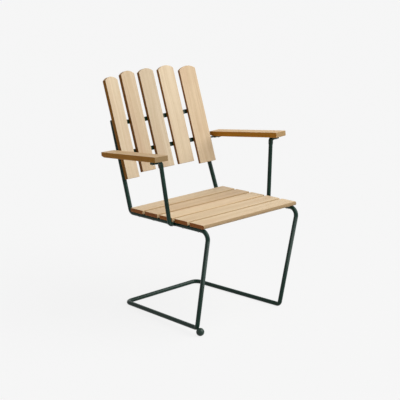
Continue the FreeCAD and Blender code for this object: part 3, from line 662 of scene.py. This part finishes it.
def eased_ends(
    points: np.ndarray, ways: np.ndarray, radii: np.ndarray, ease: float
) -> tuple[np.ndarray, ...]:
    """Round off both ends of a bar.

    A ring at angle p from 0 to a quarter turn sits ease * (1 - cos p) in from the end and is
    ease * (1 - sin p) smaller in radius.

    Args:
        points: Points along the bar.
        ways: Unit ways along the bar.
        radii: Radius at each point.
        ease: Radius of the rounding.

    Returns:
        Points, ways and radii with the rings of both ends added.
    """
    angle = np.linspace(0.0, math.pi / 2, END_RINGS)[:, None]
    inset, less = ease * (1 - np.cos(angle)), (ease * (1 - np.sin(angle)))[:, 0]
    start, finish = points[0] + ways[0] * inset, (points[-1] - ways[-1] * inset)[::-1]
    ends = np.repeat(ways[:1], END_RINGS, axis=0), np.repeat(ways[-1:], END_RINGS, axis=0)
    return (
        np.concatenate((start, points[1:-1], finish)),
        np.concatenate((ends[0], ways[1:-1], ends[1])),
        np.concatenate((radii[0] - less, radii[1:-1], (radii[-1] - less)[::-1])),
    )


def turned(profile: Sequence[tuple[float, float]], place: Matrix, sides: int) -> Skin:
    """A profile of (radius, height) pairs turned about Z: (r * cos a, r * sin a, h)."""
    pairs = np.array(profile)
    rings = round_section(pairs[:, 0], sides)
    heights = np.repeat(pairs[:, 1][:, None, None], sides, axis=1)
    return Skin(moved(np.concatenate((rings, heights), axis=-1), place))


def rounded_outline(corners: Sequence[Point], steps: int) -> np.ndarray:
    """A flat closed outline whose corners are arcs.

    Args:
        corners: (x, y, radius) counter-clockwise; radius 0 keeps the point as it is.
        steps: Steps of each arc.

    Returns:
        Points of shape (count, 2).
    """
    flat = [Vector((x, y, 0.0)) for x, y, _ in corners]
    outline = []
    for number, (x, y, radius) in enumerate(corners):
        if radius == 0.0:
            outline.append(np.array(((x, y),)))
            continue
        trio = (flat[number - 1], flat[number], flat[(number + 1) % len(flat)])
        arc, _ = bent_path(trio, (radius,), steps)
        outline.append(arc[1:-1, :2])
    return np.concatenate(outline)


@dataclass(frozen=True)
class Tone:
    """How one board differs from its fellows.

    The tint is (v, v * (1 - w / 2), v * (1 - w)) for a value v and a warmth w, and falls by the foot
    shade from the board's head to its foot; that fall is painted shade.
    """

    value: float = 1.0
    warmth: float = 0.0
    # Painted shade: how far the tint falls from the board's head to its foot
    foot_shade: float = 0.0

    def tint(self, share: np.ndarray) -> np.ndarray:
        """Tint at places along the board.

        Args:
            share: 0 at the foot of the board, 1 at its head.

        Returns:
            A colour multiplier for each place.
        """
        whole = self.value * np.array((1.0, 1.0 - self.warmth / 2, 1.0 - self.warmth))
        return (1.0 - self.foot_shade * (1.0 - share))[..., None] * whole


EDGE_RINGS = 5
# Lowest and highest random shift of a board's grain: along, across and through it
GRAIN_SHIFT = (0.0, -0.02, 0.012), (40.0, 0.02, 0.055)


@dataclass(frozen=True)
class Board:
    """A sawn board: an outline carried through a depth, with every edge rounded.

    A ring at angle p from 0 to a quarter turn sits ease * (1 - cos p) in from a face and its
    outline is drawn in by ease * (1 - sin p). The sign of the outline's area, the sum of
    x * y' - y * x' from point to point, tells which side of a step is outwards.
    """

    outline: np.ndarray
    depth: float
    ease: float
    axes: tuple[int, int, int]
    grain: tuple[int, int, int]
    seed: int
    tone: Tone = Tone()

    def skin(self, place: Matrix) -> Skin:
        """Work out the board's skin and the coordinates of its grain.

        Args:
            place: Place of the board's own axes in the chair.

        Returns:
            The skin with grain_place, grain_way, wear and tint.
        """
        angle = np.linspace(0.0, math.pi / 2, EDGE_RINGS)
        rise = self.ease * (1 - np.cos(angle))
        draw = self.ease * (1 - np.sin(angle))
        heights = np.concatenate((rise, (self.depth - rise)[::-1]))
        drawn = np.concatenate((draw, draw[::-1]))
        step = np.roll(self.outline, -1, axis=0) - np.roll(self.outline, 1, axis=0)
        x, y = self.outline.T
        turn = np.sign((x * np.roll(y, -1) - y * np.roll(x, -1)).sum())
        outwards = turn * unit(np.stack((step[:, 1], -step[:, 0]), axis=-1))
        flat = self.outline[None] - outwards[None] * drawn[:, None, None]
        count = len(self.outline)
        depth = np.repeat(heights[:, None, None], count, axis=1)
        local = np.zeros((*flat.shape[:2], 3))
        local[..., list(self.axes)] = np.concatenate((flat, depth), axis=-1)
        grain = list(self.grain)
        chance = np.random.default_rng(self.seed)
        shift = chance.uniform(*GRAIN_SHIFT)
        bevel = np.sin(2 * np.concatenate((angle, angle[::-1])))
        along = local[..., self.grain[0]]
        data = {
            "grain_place": local[..., grain] + shift,
            "grain_way": Skin(local).normals()[..., grain],
            "wear": np.repeat(bevel[:, None], count, axis=1),
            "tint": self.tone.tint(along / along.max()),
        }
        return Skin(moved(local, place), data)


# The chair's places


def tilted(corner: Point, tilt: float, turn: float = 0.0) -> Matrix:
    """Axes at a corner, tilted back about X and turned about Z, in degrees."""
    about_z = Matrix.Rotation(math.radians(turn), 4, "Z")
    return Matrix.Translation(Vector(corner)) @ about_z @ Matrix.Rotation(math.radians(-tilt), 4, "X")


@dataclass(frozen=True)
class SeatPlace:
    """The seat rails' plane."""

    front_reach: float = 0.2915
    front_height: float = 0.391
    fall: float = 1.55
    front_half_span: float = 0.2225
    rear_half_span: float = 0.217
    run: float = 0.41143

    def matrix(self) -> Matrix:
        """Axes on the rails: Y to the rear, Z square to the seat."""
        return tilted((0.0, -self.front_reach, self.front_height), self.fall)

    def rail(self, run: float, side: Side = Side.LEFT) -> Vector:
        """Point of a rail's axis, a run behind its front corner, in the seat's axes."""
        half = self.front_half_span + (self.rear_half_span - self.front_half_span) * run / self.run
        return Vector((side.value * half, run, 0.0))


@dataclass(frozen=True)
class BackPlace:
    """The curve on which the back slats' faces stand."""

    foot_reach: float = 0.1605
    foot_height: float = 0.5075
    recline: float = 18.6
    radius: float = 0.869
    pitch: float = 0.094
    count: int = 5

    def matrix(self) -> Matrix:
        """Axes at the middle slat's lower front edge: Z up the back, Y through it."""
        return tilted((0.0, self.foot_reach, self.foot_height), self.recline)

    def turned(self, angle: float, rise: float) -> Matrix:
        """The same axes turned about the curve's own axis by an angle in radians."""
        centre = Matrix.Translation(Vector((0.0, -self.radius, rise)))
        out = Matrix.Translation(Vector((0.0, self.radius, 0.0)))
        return self.matrix() @ centre @ Matrix.Rotation(-angle, 4, "Z") @ out

    def slat_angle(self, number: int) -> float:
        """Angle of a slat on the curve; 1 is on the sitter's right."""
        return (number - (self.count + 1) / 2) * self.pitch / self.radius


@dataclass(frozen=True)
class ArmPlace:
    """The left armrest's inner front corner."""

    half_span: float = 0.2682
    reach: float = 0.1396
    height: float = 0.6412
    splay: float = 5.3
    pitch: float = 6.55

    def matrix(self) -> Matrix:
        """Axes of the left armrest: X outwards, Y to the rear, Z up its top."""
        return tilted((self.half_span, -self.reach, self.height), self.pitch, self.splay)


SEAT = SeatPlace()
BACK = BackPlace()
ARM = ArmPlace()


# Sub-assemblies


@dataclass
class BentFrame:
    """The one continuous bar: back post, seat rail, leg and floor loop on both sides."""

    finishes: Finishes
    diameter: float = 0.016
    rear_corner: Point = (0.217, 0.11978, 0.37987)
    post_top: Point = (0.206016, 0.230851, 0.701692)
    front_corner: Point = (0.2225, -0.2915, 0.391)
    foot_corner: Point = (0.211, -0.219, 0.008)
    floor_corner: Point = (0.18, 0.201, 0.008)
    foot_lift: float = 0.016
    bend_radii: tuple[float, float, float, float] = (0.018, 0.0272, 0.015, 0.026)
    end_ease: float = 0.0006
    sides: int = 48
    bend_steps: int = 20
    ball_radius: float = 0.0145
    weld_gap: float = 0.00005
    pole_gap: float = 0.02
    ball_rings: int = 40

    def corners(self) -> list[Vector]:
        """Corner points from the right post's top round to the left post's top."""
        runs = self.post_top, self.rear_corner, self.front_corner, self.foot_corner, self.floor_corner
        left = [Vector(point) for point in runs]
        right = [Vector((-point.x, point.y, point.z)) for point in left]
        right[3].z += self.foot_lift
        return right + left[::-1]

    def build_bar(self) -> None:
        """Carry a circle along the whole bar, with its two ends eased."""
        radii = list(self.bend_radii)
        points, ways = bent_path(self.corners(), radii + radii[::-1], self.bend_steps)
        widths = np.full(len(points), self.diameter / 2)
        points, ways, widths = eased_ends(points, ways, widths, self.end_ease)
        skin = swept(points, carried_axes(ways), round_section(widths, self.sides))
        make_piece("bent_bar", [skin], self.finishes.paint, Slot.PAINT, ["frame"])

    def ball_centre(self) -> tuple[Vector, Vector]:
        """Centre of the ball foot and the middle of the bend that it is welded to."""
        leg, corner, rear = self.corners()[2:5]
        up_leg, along = (leg - corner).normalized(), (rear - corner).normalized()
        inwards = (up_leg + along).normalized()
        bend = self.bend_radii[2]
        middle = corner + inwards * (bend / math.sin(up_leg.angle(inwards)) - bend)
        reach = self.diameter / 2 + self.ball_radius + self.weld_gap
        forward = math.sqrt(reach**2 - (middle.z - self.ball_radius) ** 2)
        return Vector((middle.x, middle.y - forward, self.ball_radius)), middle

    def build_ball(self) -> None:
        """Turn a ball: radius r * sin a at height r * (1 - cos a), a from pole to pole."""
        centre, _ = self.ball_centre()
        angle = np.linspace(self.pole_gap, math.pi - self.pole_gap, self.ball_rings)
        rings = np.stack((np.sin(angle), -np.cos(angle)), axis=-1) * self.ball_radius
        skin = turned(rings.tolist(), Matrix.Translation(centre), self.sides)
        make_piece("turned_ball_foot", [skin], self.finishes.ball, Slot.PAINT, ["ball_foot"])

    def build(self) -> None:
        """Build the bar and its ball foot."""
        self.build_bar()
        self.build_ball()


@dataclass
class SeatBoards:
    """Five boards across the rails, the front one wider and rounded in front."""

    finishes: Finishes
    length: float = 0.463
    width: float = 0.066
    front_extra: float = 0.005
    gap: float = 0.012
    nose_inset: float = 0.0135
    thickness: float = 0.014
    ease: float = 0.0015
    nosing: float = 0.0064
    rail_radius: float = 0.008
    count: int = 5
    tones: tuple[Tone, ...] = (Tone(1.0), Tone(0.96), Tone(1.01), Tone(0.85, 0.08), Tone(0.89, 0.02))

    def spans(self) -> list[tuple[float, float]]:
        """Front edge and width of each board along the rails."""
        spans = [(self.nose_inset, self.width + self.front_extra)]
        for _ in range(self.count - 1):
            start, width = spans[-1]
            spans.append((start + width + self.gap, self.width))
        return spans

    def build(self) -> None:
        """Carry each board's rounded section across the chair."""
        place = SEAT.matrix() @ Matrix.Translation(Vector((-self.length / 2, 0.0, 0.0)))
        low, high, under = self.rail_radius, self.rail_radius + self.thickness, self.ease * 0.5
        for number, (start, width) in enumerate(self.spans(), start=1):
            first = number == 1
            bottom, front, steps = (self.nosing, self.nosing, 8) if first else (under, self.ease, 4)
            end = start + width
            below = (start, low, bottom), (end, low, under)
            section = rounded_outline((*below, (end, high, self.ease), (start, high, front)), steps)
            tone = self.tones[number - 1]
            board = Board(section, self.length, under, (1, 2, 0), (0, 1, 2), 20 + number, tone)
            name = "seat_slat_%d" % number
            material = self.finishes.nose if first else self.finishes.seat
            make_piece("oiled_" + name, [board.skin(place)], material, Slot.WOOD, [name])


@dataclass
class BackBoards:
    """Five upright boards with arched tops on the curve of the back, the outer two lower."""

    finishes: Finishes
    width: float = 0.07
    height: float = 0.363
    crown: float = 0.01288
    shoulder: float = 0.003
    thickness: float = 0.014
    ease: float = 0.0015
    outer_drop: float = 0.0147
    crown_steps: int = 26
    # Value, warmth and painted shade of each board: the third number darkens it towards its foot,
    # where the back lies in shade.
    tones: tuple[Tone, ...] = (
        Tone(0.84, 0.03, 0.15),
        Tone(0.77, 0.12, 0.13),
        Tone(0.76, 0.06, 0.1),
        Tone(0.95, 0.04, 0.13),
        Tone(0.94, 0.14, 0.1),
    )

    def outline(self) -> np.ndarray:
        """Outline in the board's plane: square foot, straight sides, arc over the top.

        The arc through both shoulders and the crown has radius (h * h + c * c) / (2 * c), with
        h the half width and c the crown's rise.

        Returns:
            Points counter-clockwise as seen from behind the board.
        """
        half = self.width / 2
        radius = (half**2 + self.crown**2) / (2 * self.crown)
        spread = math.asin(half / radius)
        middle = self.height + self.crown - radius
        corner = self.ease * 1.05
        turns = np.linspace(spread, -spread, self.crown_steps + 1)[1:-1]
        arc = [(radius * math.sin(turn), middle + radius * math.cos(turn), 0.0) for turn in turns]
        square = [(-half, 0.0, corner), (half, 0.0, corner), (half, self.height, self.shoulder)]
        return rounded_outline([*square, *arc, (-half, self.height, self.shoulder)], 5)

    def build(self) -> None:
        """Set each board on the curve."""
        flipped = self.outline()[::-1]
        for number in range(1, BACK.count + 1):
            drop = self.outer_drop if number in (1, BACK.count) else 0.0
            tone = self.tones[number - 1]
            board = Board(flipped, self.thickness, self.ease, (0, 2, 1), (2, 0, 1), 40 + number, tone)
            name = "back_slat_%d" % number
            skin = board.skin(BACK.turned(BACK.slat_angle(number), -drop))
            make_piece("oiled_" + name, [skin], self.finishes.back, Slot.WOOD, [name])


@dataclass
class BackRails:
    """Two flat bars rolled to the curve of the back and welded between the posts."""

    finishes: Finishes
    inner_radius: float = 0.883693
    thickness: float = 0.006
    height: float = 0.016
    steps: int = 48
    rises: tuple[tuple[str, float], ...] = (("lower_back_rail", 0.081), ("upper_back_rail", 0.1915))

    def build(self) -> None:
        """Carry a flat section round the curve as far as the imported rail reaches."""
        middle = self.inner_radius + self.thickness / 2
        for name, rise in self.rises:
            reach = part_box(name)[1].x
            half_turn = math.asin(reach / (self.inner_radius + self.thickness))
            angle = np.linspace(-half_turn, half_turn, self.steps)
            place = BACK.matrix() @ Matrix.Translation(Vector((0.0, -BACK.radius, rise)))
            points = np.stack((middle * np.sin(angle), middle * np.cos(angle), 0 * angle), axis=-1)
            ways = np.stack((np.cos(angle), -np.sin(angle), 0 * angle), axis=-1)
            skin = flat_bar((points, ways), (self.thickness, self.height), 48, place)
            make_piece("rolled_" + name, [skin], self.finishes.paint, Slot.PAINT, [name])


@dataclass
class Arms:
    """Board armrests, each on a bent support in front and a flat lug behind."""

    finishes: Finishes
    width: float = 0.056
    length: float = 0.32698
    thickness: float = 0.019
    ease: float = 0.0015
    tail_length: float = 0.015
    tail_height: float = 0.005
    bar_diameter: float = 0.015
    foot_run: float = 0.1685
    foot_rise: float = 0.0024
    stand_off: float = 0.0279
    foot_bend: float = 0.012
    tab_setback: float = 0.035
    tab_inset: float = 0.007
    tab_reach: float = 0.046
    tab_leg: float = 0.017
    tab_width: float = 0.018
    tab_thickness: float = 0.01
    tab_bend: float = 0.016
    neck_length: float = 0.014
    spread_length: float = 0.014
    lug_start: Point = (-0.02745, 0.33808, -0.019)
    lug_end: Point = (0.029, 0.29698, -0.019)
    lug_width: float = 0.014
    lug_thickness: float = 0.005
    rail_diameter: float = 0.016
    foot_sink: float = 0.3
    lug_sink: float = 0.45
    tab_power: float = 8.0
    knee_bends: tuple[float, float] = (0.05, 0.008)
    bend_steps: int = 12
    neck_rings: int = 15
    neck_lead: float = 0.002
    # Painted light and shade: the left armrest is tinted brighter than the right one for the extra
    # light that falls on it, and the right one darkens towards its front end.
    tones: tuple[Tone, Tone] = (Tone(1.18), Tone(0.97, 0.0, 0.1))

    def armrest(self, tone: Tone) -> Skin:
        """Carry the board's side view, with the slope under its rear end, across its width."""
        corners = (
            (0.0, -self.thickness, self.ease),
            (self.length - self.tail_length, -self.thickness, self.ease * 3),
            (self.length, self.tail_height - self.thickness, self.ease),
            (self.length, 0.0, self.ease),
            (0.0, 0.0, self.ease),
        )
        side_view = rounded_outline(corners, 5)
        board = Board(side_view, self.width, self.ease, (1, 2, 0), (1, 0, 2), 60, tone)
        return board.skin(ARM.matrix())

    def support(self) -> Skin:
        """Carry a section along the support: a circle that flattens into the tab under the arm.

        The half thickness a and power n of the section go from the bar's to the tab's by a
        smooth step along the neck, and the half width b by one along the first part of the tab.

        Returns:
            The left support.
        """
        arm = ARM.matrix() @ Matrix.Translation(Vector((0.0, self.tab_setback, -self.thickness)))
        on_rail = SEAT.matrix() @ SEAT.rail(self.foot_run) + Vector((0.0, 0.0, self.foot_rise))
        foot = on_rail + Vector((self.rail_diameter * self.foot_sink, 0.0, 0.0))
        knee = on_rail + Vector((self.stand_off, 0.0, 0.0))
        leg_end = arm @ Vector((self.tab_inset, 0.0, -self.tab_leg))
        neck = leg_end - (leg_end - knee).normalized() * self.neck_length
        middle = self.tab_thickness / 2
        turn = arm @ Vector((self.tab_inset, 0.0, -middle))
        end = arm @ Vector((self.tab_reach, 0.0, -middle))
        radii = self.foot_bend, *self.knee_bends, self.tab_bend - middle
        corners = [foot, knee, neck, leg_end, turn, end]
        points, ways = bent_path(corners, radii, self.bend_steps)
        extra = np.linspace(0.0, 1.0, self.neck_rings)[1:-1, None]
        neck_run = (foot - knee).length + (neck - knee).length
        at = int(np.searchsorted(path_run(points), neck_run - self.neck_lead))
        fill = points[at - 1] + (points[at] - points[at - 1]) * extra
        points = np.insert(points, at, fill, axis=0)
        ways = np.insert(ways, at, np.repeat(ways[at - 1][None], len(fill), axis=0), axis=0)
        outwards, rear = (np.array(arm.to_3x3() @ Vector(axis)) for axis in ((1, 0, 0), (0, 1, 0)))
        along = unit(np.array(leg_end - neck))
        share = np.clip(((points - np.array(neck)) @ along) / self.neck_length, 0.0, 1.0)
        share[: at - 1] = 0.0
        spread = np.clip(((points - np.array(turn)) @ outwards) / self.spread_length, 0.0, 1.0)
        spread[:at] = 0.0
        share, spread = (part * part * (3 - 2 * part) for part in (share, spread))
        bar = self.bar_diameter / 2
        thin = bar + (middle - bar) * share
        wide = bar + (self.tab_width / 2 - bar) * spread
        sections = flat_section(thin, wide, 2.0 + self.tab_power * share**2, 48)
        return swept(points, carried_axes(ways, Vector(rear)), sections)

    def lug(self) -> Skin:
        """Carry a flat section from the back post to the lug's end under the arm."""
        start, end = Vector(self.lug_start), Vector(self.lug_end)
        drop = UP * (-self.lug_thickness / 2)
        way = (end - start).normalized()
        start += way * self.rail_diameter * self.lug_sink
        points = np.array([start + drop + (end - start) * share for share in np.linspace(0.0, 1.0, 6)])
        path = points, np.repeat(np.array(way)[None], 6, axis=0)
        return flat_bar(path, (self.lug_width, self.lug_thickness), 40, ARM.matrix())

    def build(self) -> None:
        """Build each side; the right one mirrors the left."""
        wood, paint = (self.finishes.arm, Slot.WOOD), (self.finishes.paint, Slot.PAINT)
        for side, tone in zip(Side, self.tones):
            pieces = (
                ("oiled", "armrest", self.armrest(tone), wood),
                ("bent", "arm_support", self.support(), paint),
                ("flat", "arm_lug", self.lug(), paint),
            )
            for made, kind, skin, look in pieces:
                node = "%s_%s" % (side.word, kind)
                own = skin if side is Side.LEFT else skin.mirrored()
                make_piece("%s_%s" % (made, node), [own], *look, [node])


@dataclass
class Screws:
    """Pan-head wood screws through the bar, the rails, the tabs and the lugs."""

    finishes: Finishes
    boards: SeatBoards
    arms: Arms
    shank_radius: float = 0.00225
    head_radius: float = 0.0045
    head_height: float = 0.0026
    recess_radius: float = 0.0015
    recess_depth: float = 0.0012
    flat_depth: float = 0.0014
    bite: float = 0.009
    rail_depth: float = 0.020693
    rises: tuple[float, float] = (0.081, 0.1915)
    end_margin: float = 0.008
    tab_pitch: float = 0.015
    lug_pitch: float = 0.014
    board_thickness: float = 0.014
    dome: tuple[tuple[float, float], ...] = (
        (0.62, 1.0),
        (0.85, 0.86),
        (0.97, 0.6),
        (1.0, 0.3),
        (1.0, 0.0),
    )
    sides: int = 24

    def screw(self, place: Matrix, grip: float) -> Skin:
        """One screw along Z whose head's seat is at the place.

        Args:
            place: Seat of the head, Z towards the board.
            grip: What the shank passes before it enters the board.

        Returns:
            The screw's skin.
        """
        head, floor = self.head_height, self.recess_depth - self.head_height
        profile = [
            (self.recess_radius * 0.3, floor),
            (self.recess_radius * 0.8, floor),
            (self.recess_radius, -head),
            *((self.head_radius * out, -head * down) for out, down in self.dome),
            (self.shank_radius, 0.0),
            (self.shank_radius, grip + self.bite * 0.9),
            (self.shank_radius * 0.3, grip + self.bite),
        ]
        return turned(profile, place, self.sides)

    def seat_places(self) -> list[Matrix]:
        """Two screws up through the rails into each seat board."""
        low = UP * (self.flat_depth - self.boards.rail_radius)
        return [
            SEAT.matrix() @ Matrix.Translation(SEAT.rail(start + width / 2, side) + low)
            for start, width in self.boards.spans()
            for side in Side
        ]

    def back_places(self) -> list[Matrix]:
        """Two screws from behind the rails into each back board."""
        behind = Matrix.Translation(Vector((0.0, self.rail_depth, 0.0)))
        forwards = Matrix.Rotation(math.radians(90), 4, "X")
        return [
            BACK.turned(BACK.slat_angle(number), rise) @ behind @ forwards
            for number in range(1, BACK.count + 1)
            for rise in self.rises
        ]

    def arm_screws(
        self, start: Vector, span: tuple[Vector, float], pitch: float, grip: float
    ) -> list[Skin]:
        """Two screws up through a tab or lug under each armrest.

        Args:
            start: Underside of the tab or lug at its inner end.
            span: Its way outwards and its length.
            pitch: Between the two screws.
            grip: Its thickness.

        Returns:
            The skins on both sides.
        """
        way, length = span
        places = (start + way * (length - self.end_margin - step * pitch) for step in (0, 1))
        left = [self.screw(ARM.matrix() @ Matrix.Translation(place), grip) for place in places]
        return left + [skin.mirrored() for skin in left]

    def build(self) -> None:
        """Build each kind of screw as one piece."""
        arms = self.arms
        through = self.boards.rail_radius * 2 - self.flat_depth
        rail_grip = self.rail_depth - self.board_thickness
        under_tab = Vector((0.0, arms.tab_setback, -arms.thickness - arms.tab_thickness))
        tab = Vector((1.0, 0.0, 0.0)), arms.tab_reach
        under_lug = Vector(arms.lug_start) - Vector((0.0, 0.0, arms.lug_thickness))
        lug = Vector(arms.lug_end) - Vector(arms.lug_start)
        lug = lug.normalized(), lug.length
        kinds = {
            "seat": [self.screw(place, through) for place in self.seat_places()],
            "back": [self.screw(place, rail_grip) for place in self.back_places()],
            "arm_front": self.arm_screws(under_tab, tab, self.tab_pitch, arms.tab_thickness),
            "arm_rear": self.arm_screws(under_lug, lug, self.lug_pitch, arms.lug_thickness),
        }
        for kind, skins in kinds.items():
            node = kind + "_screws"
            make_piece("pan_head_" + node, skins, self.finishes.steel, Slot.STEEL, [node])


@dataclass
class Welds:
    """Painted weld beads where bars meet: a bead's radius ripples along its line."""

    finishes: Finishes
    bent: BentFrame
    arms: Arms
    rails: BackRails
    radius: float = 0.0014
    ripple: float = 0.14
    ripple_length: float = 0.0026
    groove: float = 0.0045
    ball_ring: float = 0.0042

    def bead(self, points: np.ndarray) -> Skin:
        """Carry a small circle along a line; its radius is r * (1 + ripple * sin(2 * pi * s / l)).

        Args:
            points: Points along the weld.

        Returns:
            The bead's skin, drawn to a point at both ends.
        """
        wave = np.sin(2 * math.pi * path_run(points) / self.ripple_length)
        radii = self.radius * (1 + self.ripple * wave)
        radii[0] = radii[-1] = self.radius * 0.3
        ways = unit(np.gradient(points, axis=0))
        return swept(points, carried_axes(ways), round_section(radii, 12))

    def support_beads(self) -> list[Skin]:
        """Rings where the supports' feet are coped onto the seat rails.

        A point at angle a is (sqrt(R * R - v * v), r * cos a, v), with v = r * sin a + rise.

        Returns:
            Beads on both sides.
        """
        arms, rail = self.arms, self.arms.rail_diameter / 2
        foot = SEAT.matrix() @ SEAT.rail(arms.foot_run)
        angle = np.linspace(0.0, 2 * math.pi, 90)
        radius = arms.bar_diameter / 2 + self.radius * 0.2
        along, up = radius * np.cos(angle), radius * np.sin(angle) + arms.foot_rise
        out = np.sqrt(np.maximum(rail**2 - up**2, (rail * 0.3) ** 2)) + self.radius * 0.25
        left = self.bead(np.array(foot) + np.stack((out, along, up), axis=-1))
        return [left, left.mirrored()]

    def post_beads(self) -> list[Skin]:
        """Short upright beads in the grooves between the rails and the back posts."""
        beads = []
        rails, inverse = self.rails, BACK.matrix().inverted()
        high, foot = inverse @ Vector(self.bent.post_top), inverse @ Vector(self.bent.rear_corner)
        behind = rails.inner_radius + rails.thickness - BACK.radius + self.radius * 0.5
        heights = np.linspace(-0.5, 0.5, 24) * rails.height * 0.9
        for _, rise in rails.rises:
            post = foot + (high - foot) * ((rise - foot.z) / (high.z - foot.z))
            place = BACK.turned(math.atan2(post.x, post.y + BACK.radius), rise)
            for offset in (-self.groove, self.groove):
                line = np.stack((0 * heights + offset, 0 * heights + behind, heights), axis=-1)
                left = self.bead(moved(line, place))
                beads.extend((left, left.mirrored()))
        return beads

    def lug_beads(self) -> list[Skin]:
        """A bead along the bottom of each lug where it butts against its post."""
        arms = self.arms
        start, end = Vector(arms.lug_start), Vector(arms.lug_end)
        way = (end - start).normalized()
        across = Vector((-way.y, way.x, 0.0))
        low = Vector((0.0, 0.0, -arms.lug_thickness - self.radius * 0.3))
        shares = np.linspace(-0.45, 0.45, 22)
        out = arms.rail_diameter / 2 + self.radius * 0.4
        bow = np.sqrt(out**2 - (shares * arms.lug_width) ** 2)
        line = [
            start + way * float(reach) + across * float(share) * arms.lug_width + low
            for share, reach in zip(shares, bow)
        ]
        left = self.bead(moved(np.array(line), ARM.matrix()))
        return [left, left.mirrored()]

    def ball_bead(self) -> Skin:
        """A ring round the place where the ball foot touches the bend."""
        centre, middle = self.bent.ball_centre()
        way = (middle - centre).normalized()
        side = way.orthogonal().normalized()
        other = way.cross(side)
        angle = np.linspace(0.0, 2 * math.pi, 60)[:, None]
        touch = np.array(centre + way * self.bent.ball_radius)
        ring = self.ball_ring * (np.array(side) * np.cos(angle) + np.array(other) * np.sin(angle))
        return self.bead(touch + ring)

    def build(self) -> None:
        """Build all the beads as one piece."""
        skins = [*self.support_beads(), *self.post_beads(), *self.lug_beads(), self.ball_bead()]
        make_piece("painted_weld_beads", skins, self.finishes.paint, Slot.PAINT)


# Studio


@dataclass
class Studio:
    """Pale floor, key light, soft panel, a strip that only gloss shows, and the camera."""

    eye: Point = (-3.0, -3.1873, 1.563)
    forward: Point = (0.66423, 0.70271, -0.25506)
    azimuth: float = -43.389
    roll: float = -0.238
    lens: float = 111.24
    sensor: float = 36.0
    shown: Colour = (0.922, 0.922, 0.922)
    ambient: float = 0.25
    key_strength: float = 3.14
    key_way: Point = (0.42, -0.55, 0.72)
    key_spread: float = 62.0
    panel_place: Point = (1.45, -2.7, 1.4)
    panel_size: tuple[float, float] = (0.8, 0.8)
    panel_radiance: float = 4.2
    strip_place: Point = (0.1, -0.68, 0.01)
    strip_size: tuple[float, float] = (1.4, 0.44)
    strip_radiance: float = 3.8
    floor_half: float = 40.0
    floor_matt: Colour = (0.6, 0.6, 0.6)

    def build_floor(self) -> None:
        """Lay the floor as one large level square."""
        half = self.floor_half
        mesh = bpy.data.meshes.new("studio_floor")
        corners = [(-half, -half, 0.0), (half, -half, 0.0), (half, half, 0.0), (-half, half, 0.0)]
        mesh.from_pydata(corners, [], [(0, 1, 2, 3)])
        mesh.materials.append(FloorFinish("pale_floor", self.shown, self.floor_matt).build())
        floor = add_object("studio_floor", mesh)

    def build_world(self) -> None:
        """Even light from all round; to the camera and in reflections it is the pale backdrop."""
        graph = Graph(bpy.data.worlds.new("studio_world"), "ShaderNodeOutputWorld")
        looks = ((1.0, 1.0, 1.0), self.ambient), (self.shown, 1.0)
        plain, shown = (
            graph.node("ShaderNodeBackground", {"Color": colour, "Strength": strength})
            for colour, strength in looks
        )
        bpy.context.scene.world = graph.backdrop(plain, shown)

    def add_lamp(self, name: str, lamp: bpy.types.Light, turn: Quaternion) -> bpy.types.Object:
        """Hang a lamp that shines along its own -Z.

        Args:
            name: Name of the lamp's object.
            lamp: The lamp.
            turn: How it is turned.

        Returns:
            The lamp's object.
        """
        made = add_object(name, lamp)
        made.rotation_mode = "QUATERNION"
        made.rotation_quaternion = turn
        return made

    def add_area(
        self, name: str, size: tuple[float, float], radiance: float, place: Point, turn: Quaternion
    ) -> bpy.types.Object:
        """Hang a rectangular lamp: a radiance L over an area A takes a power of pi * L * A."""
        lamp = bpy.data.lights.new(name, "AREA")
        lamp.shape = "RECTANGLE"
        lamp.size, lamp.size_y = size
        lamp.energy = math.pi * radiance * lamp.size * lamp.size_y
        made = self.add_lamp(name, lamp, turn)
        made.location = Vector(place)
        return made

    def build_lamps(self) -> None:
        """Hang the soft key, the panel that draws a line along each bar, and the floor strip."""
        lamp = bpy.data.lights.new("key_light", "SUN")
        lamp.energy = self.key_strength
        lamp.angle = math.radians(self.key_spread)
        self.add_lamp("key_light", lamp, Vector(self.key_way).to_track_quat("Z", "Y"))
        level = Vector((*self.panel_place[:2], 0.0)).to_track_quat("Z", "Y")
        self.add_area("soft_panel", self.panel_size, self.panel_radiance, self.panel_place, level)
        upwards = Matrix.Rotation(math.pi, 4, "X").to_quaternion()
        strip = self.add_area(
            "floor_strip", self.strip_size, self.strip_radiance, self.strip_place, upwards
        )
        strip.visible_camera = False
        strip.visible_diffuse = False

    def build_camera(self) -> None:
        """Stand the camera where the photograph was taken from."""
        forward = Vector(self.forward).normalized()
        turn = math.radians(self.azimuth)
        right = Vector((math.cos(turn), math.sin(turn), 0.0))
        right = (right - forward * right.dot(forward)).normalized()
        up = right.cross(forward)
        lean = math.radians(self.roll)
        cosine, sine = math.cos(lean), math.sin(lean)
        right, up = right * cosine + up * sine, up * cosine - right * sine
        place = Matrix((right, up, -forward)).transposed().to_4x4()
        place.translation = Vector(self.eye)
        lens = bpy.data.cameras.new("camera")
        lens.lens = self.lens
        lens.sensor_width = self.sensor
        lens.clip_end = 200.0
        camera = add_object("camera", lens)
        camera.matrix_world = place
        bpy.context.scene.camera = camera

    def build(self) -> None:
        """Set up the whole studio."""
        self.build_floor()
        self.build_world()
        self.build_lamps()
        self.build_camera()
        bpy.context.scene.view_settings.view_transform = "Standard"


def main() -> None:
    """Build the chair and the studio."""
    logging.basicConfig(level=logging.INFO, format="%(name)s %(message)s")
    finishes = Finishes.make()
    bent, seat, back = BentFrame(finishes), SeatBoards(finishes), BackBoards(finishes)
    rails, arms = BackRails(finishes), Arms(finishes)
    for assembly in (bent, seat, back, rails, arms):
        assembly.build()
    Screws(finishes, seat, arms).build()
    Welds(finishes, bent, arms, rails).build()
    Studio().build()


if __name__ == "__main__":
    main()
